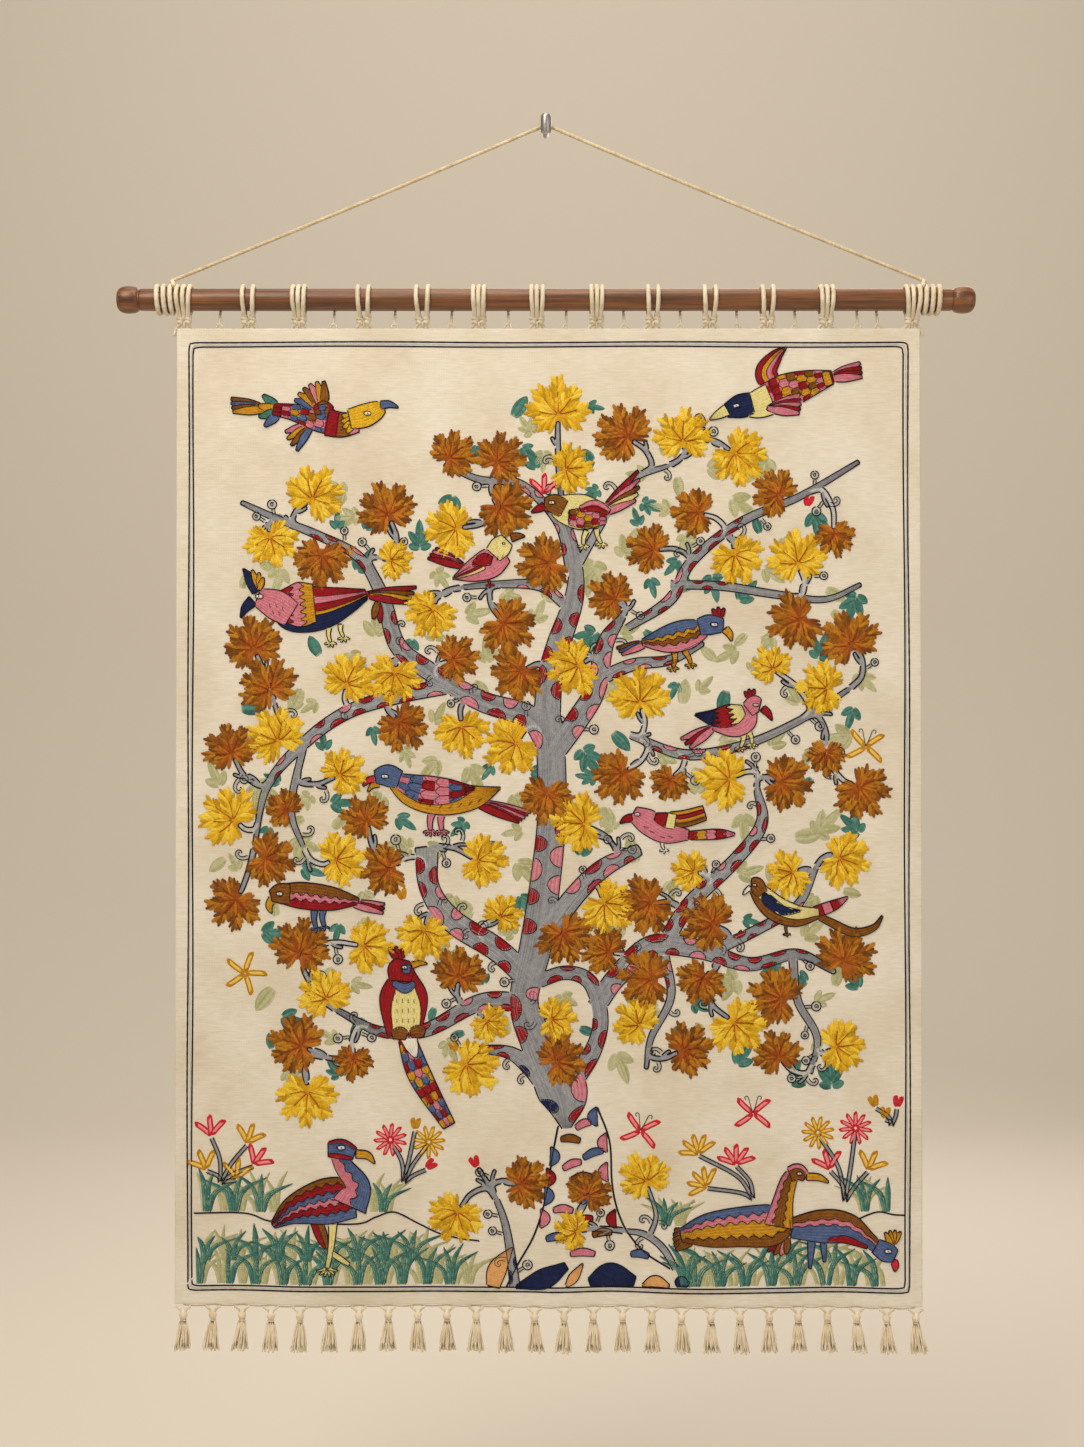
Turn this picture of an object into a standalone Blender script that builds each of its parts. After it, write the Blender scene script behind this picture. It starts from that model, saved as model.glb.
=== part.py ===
"""Crewel embroidered wall hanging: a cloth panel tied under a wooden rod, hung by a cord from a wall peg.

Metres, +Z up. The origin is the centre of the peg's back face, on the wall plane y = 0. The hanging
faces -Y, and +X is to the viewer's right. Nothing reaches behind y = 0.
"""

import math

import bmesh
import bpy
from mathutils import Matrix, Vector

# Clearance between neighbouring pieces.
GAP = 0.0003

# Wall peg: a level shaft with an upright post on its end.
PEG_SHAFT_RADIUS = 0.0035
PEG_POST_RADIUS = 0.0065
PEG_POST_TOP = 0.0193
PEG_POST_BOTTOM = -0.0045

# Rod, turned end knobs, and the plane that the rod and the hanging cord share.
ROD_Y = -0.021
ROD_Z = -0.207
ROD_RADIUS = 0.0135
ROD_SIDES = 32
KNOB_SIDES = 18
OVERALL_HALF_LENGTH = 0.525
KNOB_LENGTH = 0.029

# Hanging cord and the turns that tie it to the rod.
CORD_RADIUS = 0.0025
WRAP_RADIUS = 0.0031
WRAP_PITCH = 0.0082
WRAP_POINTS_PER_TURN = 12
WRAP_OUTER_TURN = {"left": -0.4745, "right": 0.4800}

# Cloth panel.
CLOTH_TOP = -0.2425
CLOTH_BOTTOM = -1.4395
CLOTH_BOTTOM_SLOPE = -0.0033
CLOTH_CENTRE = 0.003
CLOTH_TOP_WIDTH = 0.909
CLOTH_BOTTOM_WIDTH = 0.917
CLOTH_THICKNESS = 0.002
CLOTH_Y = -0.024
CLOTH_DRIFT = 0.007
CLOTH_COLUMNS = 24
CLOTH_ROWS = 16

# Hangers: doubled cord loops over the rod, each ending in two knots and three legs sewn behind the hem.
STRAND_RADIUS = 0.003
STRAND_WRAP_ANGLE = math.radians(135)
STRAND_ARC_STEPS = 8
KNOT_RADII = (0.0044, 0.0046, 0.0076)
KNOT_OFFSET = 0.0041
KNOT_Y = -0.0225
KNOT_Z = -0.2312
LEG_RADIUS = 0.0024
LEG_SPREAD = 0.0105
LEG_BEHIND_HEM = 0.008
LEG_Y = -0.0194

# Ties: thin threads from the hem up to the back of the rod.
TIE_RADIUS = 0.0016
TIE_FOOT_SPREAD = 0.0034

# Tassels along the lower hem, and the fine cord that links them.
TASSEL_COUNT = 26
TASSEL_FIRST_X = -0.445
TASSEL_PITCH = 0.03593
TASSEL_LEG_RADIUS = 0.0021
TASSEL_LEG_SPREAD = 0.008
TASSEL_HEAD_RADIUS = 0.0054
TASSEL_HEAD_DROP = 0.0127
TASSEL_SKIRT_TOP_DROP = 0.0165
TASSEL_TIP_DROP = 0.057
TASSEL_SKIRT_TOP_RADIUS = 0.0043
TASSEL_SKIRT_RADIUS = 0.0118
TASSEL_FLATNESS = 0.68
EDGING_RADIUS = 0.0012
EDGING_BEHIND = 0.0012

# The hanging cord's route in the rod's plane, from the left wrap over the peg to the right wrap.
CORD_ROUTE = (
    # x, z
    (-0.4580, -0.1837),
    (-0.4300, -0.1724),
    (-0.3900, -0.1560),
    (-0.3300, -0.1315),
    (-0.2600, -0.1026),
    (-0.1900, -0.0734),
    (-0.1200, -0.0439),
    (-0.0600, -0.0184),
    (-0.0250, -0.0033),
    (-0.0100, 0.0031),
    (-0.0045, 0.0054),
    (0.0000, 0.0063),
    (0.0045, 0.0054),
    (0.0100, 0.0031),
    (0.0250, -0.0032),
    (0.0600, -0.0182),
    (0.1200, -0.0434),
    (0.1900, -0.0725),
    (0.2600, -0.1014),
    (0.3300, -0.1300),
    (0.3950, -0.1563),
    (0.4330, -0.1716),
    (0.4633, -0.1837),
)

# Soft folds of the cloth: each is a trough (+) towards the wall or a ridge (-) towards the room, which
# starts a share of the way down, grows to full depth, and leans sideways by the hem.
FOLDS = (
    # x, lean, start, width, depth
    (-0.395, 0.010, 0.10, 0.060, 0.0035),
    (-0.290, -0.015, 0.35, 0.050, -0.0035),
    (-0.150, 0.010, 0.45, 0.060, 0.0040),
    (0.012, 0.004, 0.66, 0.036, -0.0045),
    (0.085, 0.000, 0.60, 0.045, 0.0035),
    (0.205, -0.020, 0.40, 0.060, -0.0040),
    (0.330, 0.020, 0.25, 0.055, 0.0035),
    (0.425, 0.000, 0.15, 0.040, -0.0030),
)

# Hangers from left to right: place along the rod, strands over it, and their spacing.
HANGERS = (
    # x, strands, spacing
    (-0.4426, 3, 0.0078),
    (-0.3640, 2, 0.0126),
    (-0.3020, 3, 0.0070),
    (-0.2230, 2, 0.0133),
    (-0.1510, 2, 0.0140),
    (-0.0820, 3, 0.0067),
    (-0.0110, 3, 0.0070),
    (0.0620, 3, 0.0070),
    (0.1310, 2, 0.0127),
    (0.2005, 2, 0.0133),
    (0.2710, 2, 0.0133),
    (0.3430, 3, 0.0074),
    (0.4480, 3, 0.0078),
)

# Ties from left to right.
TIE_XS = (-0.400, -0.260, -0.1855, -0.116, -0.0465, 0.0245, 0.096, 0.165, 0.2337, 0.3055, 0.3815, 0.4067)


def clear_scene():
    """Removes every object of the open scene."""
    for obj in list(bpy.data.objects):
        bpy.data.objects.remove(obj)


def finish(name, colour, roughness, metallic=0.0):
    """A Principled material of one colour."""
    material = bpy.data.materials.new(name)
    material.use_nodes = True
    shader = material.node_tree.nodes["Principled BSDF"]
    shader.inputs["Base Color"].default_value = (*colour, 1.0)
    shader.inputs["Roughness"].default_value = roughness
    shader.inputs["Metallic"].default_value = metallic
    return material


def add_object(name, mesh, collection, material):
    """An object for this mesh, in this collection, with this material."""
    obj = bpy.data.objects.new(name, mesh)
    collection.objects.link(obj)
    mesh.materials.clear()
    mesh.materials.append(material)
    return obj


def helper(mesh):
    """A temporary object for a piece that is still to be joined to others."""
    obj = bpy.data.objects.new("helper", mesh)
    bpy.context.scene.collection.objects.link(obj)
    return obj


def evaluated_mesh(obj):
    """A new mesh with the object's modifiers applied and its doubled points merged."""
    bpy.context.view_layer.update()
    graph = bpy.context.evaluated_depsgraph_get()
    mesh = bpy.data.meshes.new_from_object(obj.evaluated_get(graph))
    shape = bmesh.new()
    shape.from_mesh(mesh)
    bmesh.ops.remove_doubles(shape, verts=shape.verts, dist=1e-6)
    shape.to_mesh(mesh)
    shape.free()
    return mesh


def tube_mesh(points, radius, bevel_resolution):
    """A closed tube along these points, as a mesh."""
    curve = bpy.data.curves.new("tube", "CURVE")
    curve.dimensions = "3D"
    curve.bevel_depth = radius
    curve.bevel_resolution = bevel_resolution
    curve.use_fill_caps = True
    spline = curve.splines.new("POLY")
    spline.points.add(len(points) - 1)
    for point, place in zip(spline.points, points):
        point.co = (*place, 1.0)
    obj = helper(curve)
    mesh = evaluated_mesh(obj)
    bpy.data.objects.remove(obj)
    bpy.data.curves.remove(curve)
    return mesh


def ellipsoid_mesh(centre, radii, segments, rings):
    """A closed ball, stretched to these radii."""
    shape = bmesh.new()
    placed = Matrix.Translation(centre) @ Matrix.Diagonal((*radii, 1.0))
    bmesh.ops.create_uvsphere(shape, u_segments=segments, v_segments=rings, radius=1.0, matrix=placed)
    mesh = bpy.data.meshes.new("ball")
    shape.to_mesh(mesh)
    shape.free()
    return mesh


def turned_mesh(profile, steps):
    """A turned solid about Z. The profile's (radius, height) rows run from its top to its bottom."""
    mesh = bpy.data.meshes.new("profile")
    points = [(radius, 0.0, height) for radius, height in profile]
    mesh.from_pydata(points, [(row, row + 1) for row in range(len(points) - 1)], [])
    obj = helper(mesh)
    screw = obj.modifiers.new("turn", "SCREW")
    screw.steps = steps
    screw.render_steps = steps
    screw.use_merge_vertices = True
    screw.merge_threshold = 1e-5
    turned = evaluated_mesh(obj)
    bpy.data.objects.remove(obj)
    return turned


def united(meshes):
    """One closed mesh from closed meshes that overlap. A strand's two ends also overlap each other."""
    pieces = [helper(mesh) for mesh in meshes]
    first, *others = pieces
    for other in others:
        join = first.modifiers.new("join", "BOOLEAN")
        join.operation = "UNION"
        join.object = other
        join.use_self = True
    mesh = evaluated_mesh(first)
    for piece in pieces:
        bpy.data.objects.remove(piece)
    return mesh


def smooth_step(value):
    """0 below 0, 1 above 1, and an even rise between them."""
    value = min(max(value, 0.0), 1.0)
    return value * value * (3.0 - 2.0 * value)


def smooth_route(points, steps):
    """Points on a Catmull-Rom curve through these ones, with this many steps to a span."""
    ends = [points[0] * 2 - points[1], *points, points[-1] * 2 - points[-2]]
    route = []
    for before, start, stop, after in zip(ends, ends[1:], ends[2:], ends[3:]):
        for step in range(steps):
            t = step / steps
            route.append(
                0.5
                * (
                    2 * start
                    + (stop - before) * t
                    + (2 * before - 5 * start + 4 * stop - after) * t**2
                    + (3 * start - before - 3 * stop + after) * t**3
                )
            )
    return [*route, points[-1]]


def cloth_depth(x, z):
    """The y of the cloth's middle surface: it leans towards the wall lower down, and has soft folds."""
    down = (CLOTH_TOP - z) / (CLOTH_TOP - CLOTH_BOTTOM)
    y = CLOTH_Y + CLOTH_DRIFT * down**2
    for fold_x, lean, start, width, depth in FOLDS:
        across = (x - fold_x - lean * down) / width
        y += depth * smooth_step((down - start) / 0.3) * math.exp(-across * across)
    return y


def cloth_bottom(x):
    """The z of the lower hem, which drops a little to the right."""
    return CLOTH_BOTTOM + CLOTH_BOTTOM_SLOPE * (x - CLOTH_CENTRE)


def make_peg(collection, material):
    """The wall peg: a level shaft and an upright post with a domed top."""
    post_y = ROD_Y - CORD_RADIUS - 0.0005 - PEG_POST_RADIUS
    shaft_length = -post_y
    shape = bmesh.new()
    bmesh.ops.create_cone(
        shape,
        cap_ends=True,
        segments=24,
        radius1=PEG_SHAFT_RADIUS,
        radius2=PEG_SHAFT_RADIUS,
        depth=shaft_length,
        matrix=Matrix.Translation((0, -shaft_length / 2, 0)) @ Matrix.Rotation(math.pi / 2, 4, "X"),
    )
    shaft = bpy.data.meshes.new("shaft")
    shape.to_mesh(shaft)
    shape.free()
    edge = 0.0008
    dome = []
    for step in range(6):
        angle = math.radians(18 * step)
        radius = PEG_POST_RADIUS * math.sin(angle)
        dome.append((radius, PEG_POST_TOP - PEG_POST_RADIUS * (1 - math.cos(angle))))
    base = [
        (PEG_POST_RADIUS, PEG_POST_BOTTOM + edge),
        (PEG_POST_RADIUS - edge, PEG_POST_BOTTOM),
        (0.0, PEG_POST_BOTTOM),
    ]
    post = turned_mesh(dome + base, 16)
    post.transform(Matrix.Translation((0, post_y, 0)))
    mesh = united([shaft, post])
    mesh.shade_smooth()
    mesh.set_sharp_from_angle(angle=math.radians(40))
    add_object("wall_peg", mesh, collection, material)


def make_rod(collection, material):
    """The plain rod between the knobs, and a turned knob on each end."""
    half_length = OVERALL_HALF_LENGTH - KNOB_LENGTH
    shape = bmesh.new()
    bmesh.ops.create_cone(
        shape,
        cap_ends=True,
        segments=ROD_SIDES,
        radius1=ROD_RADIUS,
        radius2=ROD_RADIUS,
        depth=2 * half_length,
        matrix=Matrix.Translation((0, ROD_Y, ROD_Z)) @ Matrix.Rotation(math.pi / 2, 4, "Y"),
    )
    rod = bpy.data.meshes.new("rod")
    shape.to_mesh(rod)
    shape.free()
    rod.shade_smooth()
    rod.set_sharp_from_angle(angle=math.radians(40))
    add_object("rod", rod, collection, material)
    profile = (
        # radius, distance out from the rod's end
        (0.0000, KNOB_LENGTH),
        (0.0085, KNOB_LENGTH - 0.0004),
        (0.0128, KNOB_LENGTH - 0.0022),
        (0.0156, KNOB_LENGTH - 0.0065),
        (0.0166, 0.0145),
        (0.0160, 0.0080),
        (0.0143, 0.0030),
        (0.0128, 0.0022),
        (0.0128, GAP),
        (0.0000, GAP),
    )
    for side, sign in (("left", -1), ("right", 1)):
        knob = turned_mesh(profile, KNOB_SIDES)
        outwards = Matrix.Rotation(sign * math.pi / 2, 4, "Y")
        knob.transform(Matrix.Translation((sign * half_length, ROD_Y, ROD_Z)) @ outwards)
        knob.shade_smooth()
        knob.set_sharp_from_angle(angle=math.radians(40))
        add_object(f"rod_cap_{side}", knob, collection, material)


def make_hanging_cord(collection, material):
    """The cord from one wrap, over the peg, to the other."""
    route = smooth_route([Vector((x, ROD_Y, z)) for x, z in CORD_ROUTE], 2)
    add_object("hanging_cord", tube_mesh(route, CORD_RADIUS, 2), collection, material)


def make_wraps(collection, material):
    """Three turns of cord round the rod near each end. A turn steps sideways behind the rod."""
    half_step = math.pi / WRAP_POINTS_PER_TURN
    reach = (ROD_RADIUS + GAP + WRAP_RADIUS) / math.cos(half_step)
    start = -2
    stop = int(2.75 * WRAP_POINTS_PER_TURN)
    for side, inward in (("left", 1), ("right", -1)):
        points = []
        for step in range(start, stop + 1):
            turn, share = divmod(step / WRAP_POINTS_PER_TURN, 1.0)
            across = min(turn + smooth_step((share - 0.45) / 0.5), 2.0) if step >= 0 else 0.0
            angle = 2 * math.pi * step / WRAP_POINTS_PER_TURN
            points.append(
                (
                    WRAP_OUTER_TURN[side] + inward * across * WRAP_PITCH,
                    ROD_Y - reach * math.sin(angle),
                    ROD_Z + reach * math.cos(angle),
                )
            )
        add_object(f"cord_wrap_{side}", tube_mesh(points, WRAP_RADIUS, 1), collection, material)


def make_cloth(collection, material):
    """The panel: one sheet of even thickness, with its soft folds."""
    shape = bmesh.new()
    bmesh.ops.create_grid(shape, x_segments=CLOTH_COLUMNS, y_segments=CLOTH_ROWS, size=0.5)
    for vert in shape.verts:
        across, down = vert.co.x, 0.5 - vert.co.y
        width = CLOTH_TOP_WIDTH + (CLOTH_BOTTOM_WIDTH - CLOTH_TOP_WIDTH) * down
        x = CLOTH_CENTRE + across * width
        z = CLOTH_TOP + (cloth_bottom(x) - CLOTH_TOP) * down
        vert.co = (x, cloth_depth(x, z), z)
    mesh = bpy.data.meshes.new("cloth")
    shape.to_mesh(mesh)
    shape.free()
    mesh.shade_smooth()
    cloth = add_object("panel_cloth", mesh, collection, material)
    solid = cloth.modifiers.new("thickness", "SOLIDIFY")
    solid.thickness = CLOTH_THICKNESS
    solid.offset = 0.0


def strand_points(top_x, knot_x):
    """One loop of cord: from its knot, up the front of the rod, over it, and down the back."""
    reach = (ROD_RADIUS + GAP + STRAND_RADIUS) / math.cos(STRAND_WRAP_ANGLE / STRAND_ARC_STEPS)
    points = [(knot_x, KNOT_Y - 0.0008, KNOT_Z)]
    for step in range(STRAND_ARC_STEPS + 1):
        angle = STRAND_WRAP_ANGLE * (2 * step / STRAND_ARC_STEPS - 1)
        points.append((top_x, ROD_Y + reach * math.sin(angle), ROD_Z + reach * math.cos(angle)))
    return [*points, (knot_x, KNOT_Y + 0.0008, KNOT_Z)]


def make_hangers(collection, material):
    """A row of hangers: loops over the rod, two knots, and three legs that end behind the hem."""
    for number, (x, strands, spacing) in enumerate(HANGERS, 1):
        meshes = []
        for strand in range(strands):
            across = strand - (strands - 1) / 2
            knot_x = x + KNOT_OFFSET * max(-1.0, min(1.0, 2 * across))
            meshes.append(tube_mesh(strand_points(x + across * spacing, knot_x), STRAND_RADIUS, 1))
        for side in (-1, 1):
            meshes.append(ellipsoid_mesh((x + side * KNOT_OFFSET, KNOT_Y, KNOT_Z), KNOT_RADII, 6, 4))
        for side in (-1, 0, 1):
            start_x = x + side * KNOT_OFFSET
            leg = [
                (start_x, KNOT_Y, KNOT_Z - 0.0035),
                (start_x + side * 0.6 * LEG_SPREAD / 2, LEG_Y, CLOTH_TOP + 0.001),
                (x + side * LEG_SPREAD, LEG_Y, CLOTH_TOP - LEG_BEHIND_HEM),
            ]
            meshes.append(tube_mesh(leg, LEG_RADIUS, 0))
        add_object(f"hanger_{number:02d}", united(meshes), collection, material)


def make_ties(collection, material):
    """Thin ties: a stem from behind the rod and a two-legged foot behind the hem."""
    reach = ROD_RADIUS + 2 * GAP + TIE_RADIUS
    foot_y = LEG_Y - LEG_RADIUS + TIE_RADIUS
    fork = (foot_y, CLOTH_TOP + 0.006)
    for number, x in enumerate(TIE_XS, 1):
        stem = [(x, ROD_Y + reach, ROD_Z + 0.002)]
        for angle in (math.radians(20), math.radians(50)):
            stem.append((x, ROD_Y + 1.05 * reach * math.cos(angle), ROD_Z - 1.05 * reach * math.sin(angle)))
        meshes = [tube_mesh([*stem, (x, *fork)], TIE_RADIUS, 0)]
        for side in (-1, 1):
            foot = [(x, fork[0], fork[1] + 0.001), (x + side * TIE_FOOT_SPREAD, foot_y, CLOTH_TOP - 0.005)]
            meshes.append(tube_mesh(foot, 0.9 * TIE_RADIUS, 0))
        add_object(f"tie_{number:02d}", united(meshes), collection, material)


def tassel_places():
    """The x of each tassel."""
    return [TASSEL_FIRST_X + TASSEL_PITCH * number for number in range(TASSEL_COUNT)]


def make_tassels(collection, material):
    """Tassels: two legs from the hem, a wound head and a flared skirt that leans outwards."""
    for number, x in enumerate(tassel_places(), 1):
        hem = cloth_bottom(x)
        y = cloth_depth(x, hem)
        lean = 0.006 * x + 0.0012 * math.sin(2.1 * number)
        head = (x, y, hem - TASSEL_HEAD_DROP)
        depth = TASSEL_TIP_DROP - TASSEL_SKIRT_TOP_DROP
        shape = bmesh.new()
        bmesh.ops.create_cone(
            shape,
            cap_ends=True,
            segments=8,
            radius1=TASSEL_SKIRT_RADIUS,
            radius2=TASSEL_SKIRT_TOP_RADIUS,
            depth=depth,
            matrix=Matrix.Translation((x, y, hem - TASSEL_SKIRT_TOP_DROP - depth / 2)),
        )
        for vert in shape.verts:
            low = vert.co.z < hem - TASSEL_SKIRT_TOP_DROP - depth / 2
            vert.co.y = y + (vert.co.y - y) * (TASSEL_FLATNESS if low else 1.0)
            vert.co.x += lean if low else 0.0
        skirt = bpy.data.meshes.new("skirt")
        shape.to_mesh(skirt)
        shape.free()
        meshes = [ellipsoid_mesh(head, (TASSEL_HEAD_RADIUS,) * 3, 8, 5), skirt]
        for side in (-1, 1):
            top = (x + side * TASSEL_LEG_SPREAD, y, hem - GAP - 1.2 * TASSEL_LEG_RADIUS)
            meshes.append(tube_mesh([top, (x, y, hem - TASSEL_HEAD_DROP + 0.002)], TASSEL_LEG_RADIUS, 0))
        add_object(f"tassel_{number:02d}", united(meshes), collection, material)


def make_edging(collection, material):
    """The fine cord behind the tassels' legs: it meets the hem at each tassel and dips between them."""
    behind = TASSEL_LEG_RADIUS + EDGING_RADIUS + EDGING_BEHIND
    points = []
    for x in tassel_places():
        between = x + TASSEL_PITCH / 2
        for place, drop in ((x, 0.0016), (between, 0.0030)):
            hem = cloth_bottom(place)
            points.append((place, cloth_depth(place, hem) + behind, hem - drop))
    add_object("edging_cord", tube_mesh(points[:-1], EDGING_RADIUS, 0), collection, material)


def main():
    clear_scene()
    collection = bpy.data.collections.new("crewel_wall_hanging")
    bpy.context.scene.collection.children.link(collection)
    metal = finish("satin_metal", (0.55, 0.54, 0.52), 0.35, 1.0)
    wood = finish("stained_wood", (0.20, 0.075, 0.025), 0.38)
    cotton = finish("cotton_cord", (0.80, 0.70, 0.54), 0.9)
    cloth = finish("cotton_cloth", (0.80, 0.72, 0.57), 0.92)
    make_peg(collection, metal)
    make_rod(collection, wood)
    make_hanging_cord(collection, cotton)
    make_wraps(collection, cotton)
    make_cloth(collection, cloth)
    make_hangers(collection, cotton)
    make_ties(collection, cotton)
    make_tassels(collection, cotton)
    make_edging(collection, cotton)


main()
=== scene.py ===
# %% [markdown]
# # A crewel embroidered wall hanging
# The real object is a cotton panel, embroidered with wool, that hangs from a wooden rod by loops of
# cord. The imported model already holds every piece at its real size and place. This lesson keeps those
# places and gives each piece the surface that the eye expects: cloth with puckers, wool stitches that
# stand up from it, twisted cord, yarn tassels and stained wood.

# %% Load the frame
import math
import random

import bmesh
import bpy
import numpy as np
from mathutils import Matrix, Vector


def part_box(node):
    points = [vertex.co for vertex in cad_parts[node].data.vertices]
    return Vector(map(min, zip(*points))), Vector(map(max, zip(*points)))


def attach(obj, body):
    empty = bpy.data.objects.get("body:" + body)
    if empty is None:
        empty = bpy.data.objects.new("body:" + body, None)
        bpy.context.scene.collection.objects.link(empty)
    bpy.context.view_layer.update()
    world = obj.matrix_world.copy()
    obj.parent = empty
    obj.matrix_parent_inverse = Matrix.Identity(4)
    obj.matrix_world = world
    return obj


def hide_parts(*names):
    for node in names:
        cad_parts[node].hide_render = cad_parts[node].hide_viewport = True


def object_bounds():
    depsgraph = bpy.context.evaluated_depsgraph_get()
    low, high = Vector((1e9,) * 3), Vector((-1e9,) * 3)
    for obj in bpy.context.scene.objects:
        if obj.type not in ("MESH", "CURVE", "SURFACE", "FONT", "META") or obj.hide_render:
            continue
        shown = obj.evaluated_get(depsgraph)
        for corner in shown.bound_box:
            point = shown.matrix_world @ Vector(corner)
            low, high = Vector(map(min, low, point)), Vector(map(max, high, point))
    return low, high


MM = 0.001
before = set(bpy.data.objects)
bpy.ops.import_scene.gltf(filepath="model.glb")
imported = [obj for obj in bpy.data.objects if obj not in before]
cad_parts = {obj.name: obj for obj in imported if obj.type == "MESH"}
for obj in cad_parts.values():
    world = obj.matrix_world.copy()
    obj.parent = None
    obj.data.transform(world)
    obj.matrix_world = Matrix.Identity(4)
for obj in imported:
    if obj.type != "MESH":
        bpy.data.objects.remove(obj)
cad_low, cad_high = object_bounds()
print("CAD box", [round(v, 4) for v in cad_low], [round(v, 4) for v in cad_high])

# %% [markdown]
# ## Colours and nodes
# Colours are written as sRGB hex, as a maker would read them from a shade card, and one function turns
# them to the linear values that a shader takes. One small function adds a node with its settings and
# links, so that each material below reads as a list of what it is made of.

# %% Colour and node helpers
def colour(code, alpha=1.0):
    """Linear RGBA for an sRGB hex code such as "E8DCC4"."""
    channels = [int(code[i:i + 2], 16) / 255 for i in (0, 2, 4)]
    linear = [c / 12.92 if c <= 0.04045 else ((c + 0.055) / 1.055) ** 2.4 for c in channels]
    return (*linear, alpha)


def connect(tree, node, inputs):
    """Gives a node's inputs these values, or links them to a node's first output or to a socket."""
    for name, value in inputs.items():
        if isinstance(value, bpy.types.Node):
            value = value.outputs[0]
        if isinstance(value, bpy.types.NodeSocket):
            tree.links.new(value, node.inputs[name])
        else:
            node.inputs[name].default_value = value


def add_node(tree, kind, inputs=(), stops=(), **settings):
    """A new node with its inputs and settings. stops are a colour ramp's (position, hex) pairs."""
    node = tree.nodes.new("ShaderNode" + kind)
    for name, value in settings.items():
        setattr(node, name, value)
    connect(tree, node, dict(inputs))
    for number, (position, code) in enumerate(stops):
        elements = node.color_ramp.elements
        stop = elements[number] if number < 2 else elements.new(position)
        stop.position, stop.color = position, colour(code)
    return node


def new_material(name):
    """A material with one Principled shader: its node tree, the shader and the Object coordinates."""
    material = bpy.data.materials.new(name)
    material.use_nodes = True
    tree = material.node_tree
    tree.nodes.clear()
    shader = add_node(tree, "BsdfPrincipled")
    add_node(tree, "OutputMaterial", {"Surface": shader})
    return material, tree, shader, add_node(tree, "TexCoord").outputs["Object"]


# %% Mesh helpers
def reals(values):
    """These values as an array of real numbers."""
    return np.asarray(values, dtype=np.float64)


def deselect():
    """Nothing selected, so that the next operator acts only on what is made for it."""
    if bpy.context.mode != "OBJECT":
        bpy.ops.object.mode_set(mode="OBJECT")
    bpy.ops.object.select_all(action="DESELECT")


def mesh_piece(name, points, faces, material, slot, node=None):
    """A smooth piece from arrays of points and faces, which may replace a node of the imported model."""
    mesh = bpy.data.meshes.new(name)
    mesh.vertices.add(len(points))
    mesh.vertices.foreach_set("co", points.ravel())
    mesh.loops.add(faces.size)
    mesh.loops.foreach_set("vertex_index", faces.ravel())
    mesh.polygons.add(len(faces))
    mesh.polygons.foreach_set("loop_start", np.arange(0, faces.size, faces.shape[1]))
    mesh.update(calc_edges=True)
    mesh.validate()
    obj = bpy.data.objects.new(name, mesh)
    bpy.context.scene.collection.objects.link(obj)
    return finish_piece(obj, material, node)


def finish_piece(obj, material, node=None):
    """Material, shading and body for a finished piece, and the node that it replaces."""
    obj.data.shade_smooth()
    obj.data.materials.clear()
    obj.data.materials.append(material)
    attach(obj, "root")
    if node:
        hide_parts(node)
    return obj


def make_active(obj):
    """Only this object selected, so that the next operator acts on it."""
    deselect()
    obj.select_set(True)
    bpy.context.view_layer.objects.active = obj


def select_edges(obj, wanted):
    """Edit mode with only the edges selected for which wanted(edge) is true."""
    make_active(obj)
    bpy.ops.object.mode_set(mode="EDIT")
    bpy.ops.mesh.select_mode(type="EDGE")
    bpy.ops.mesh.select_all(action="DESELECT")
    shape = bmesh.from_edit_mesh(obj.data)
    for edge in shape.edges:
        edge.select_set(bool(wanted(edge)))
    bmesh.update_edit_mesh(obj.data)


def soften(obj, name, width, degrees):
    """A narrow bevel on the edges that are sharper than this."""
    make_active(obj)
    bevel = obj.modifiers.new(name, "BEVEL")
    bevel.width, bevel.segments = width, 2
    bevel.limit_method, bevel.angle_limit = "ANGLE", math.radians(degrees)
    bpy.ops.object.modifier_apply(modifier=name)


def place_in_mesh(obj):
    """Moves the object's place, turn and scale into its mesh."""
    make_active(obj)
    bpy.ops.object.transform_apply(location=True, rotation=True, scale=True)


# %% [markdown]
# ## Camera, light and floor
# The hanging is seen straight on, from a little below its middle height. A 50 mm lens at about two and
# a half metres takes in the whole of it with a margin. A warm key lamp, a weaker fill and one lamp above
# bring out the relief of the stitches without hard shadows, and two more light the back and the backdrop.
# The floor curves up far behind the object.

# %% Camera
rod_low, rod_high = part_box("rod")
ROD_CENTRE = (Vector(rod_low) + Vector(rod_high)) / 2
ROD_RADIUS = (rod_high[2] - rod_low[2]) / 2
LENS = 50.0
SENSOR = 36.0
VIEW_HEIGHT = 1.7706
VIEW_CENTRE = Vector((-0.0049, -0.0225, -0.7256))


def make_camera():
    """A camera whose view height at the cloth is VIEW_HEIGHT."""
    data = bpy.data.cameras.new("camera")
    data.lens = LENS
    data.sensor_width = SENSOR
    camera = bpy.data.objects.new("camera", data)
    bpy.context.scene.collection.objects.link(camera)
    distance = VIEW_HEIGHT * LENS / SENSOR
    camera.location = VIEW_CENTRE + Vector((0, -distance, 0))
    camera.rotation_euler = (math.radians(90), 0, 0)
    data.clip_start = 0.05
    data.clip_end = 60
    bpy.context.scene.camera = camera


make_camera()
bpy.context.scene.view_settings.view_transform = "Standard"

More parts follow.
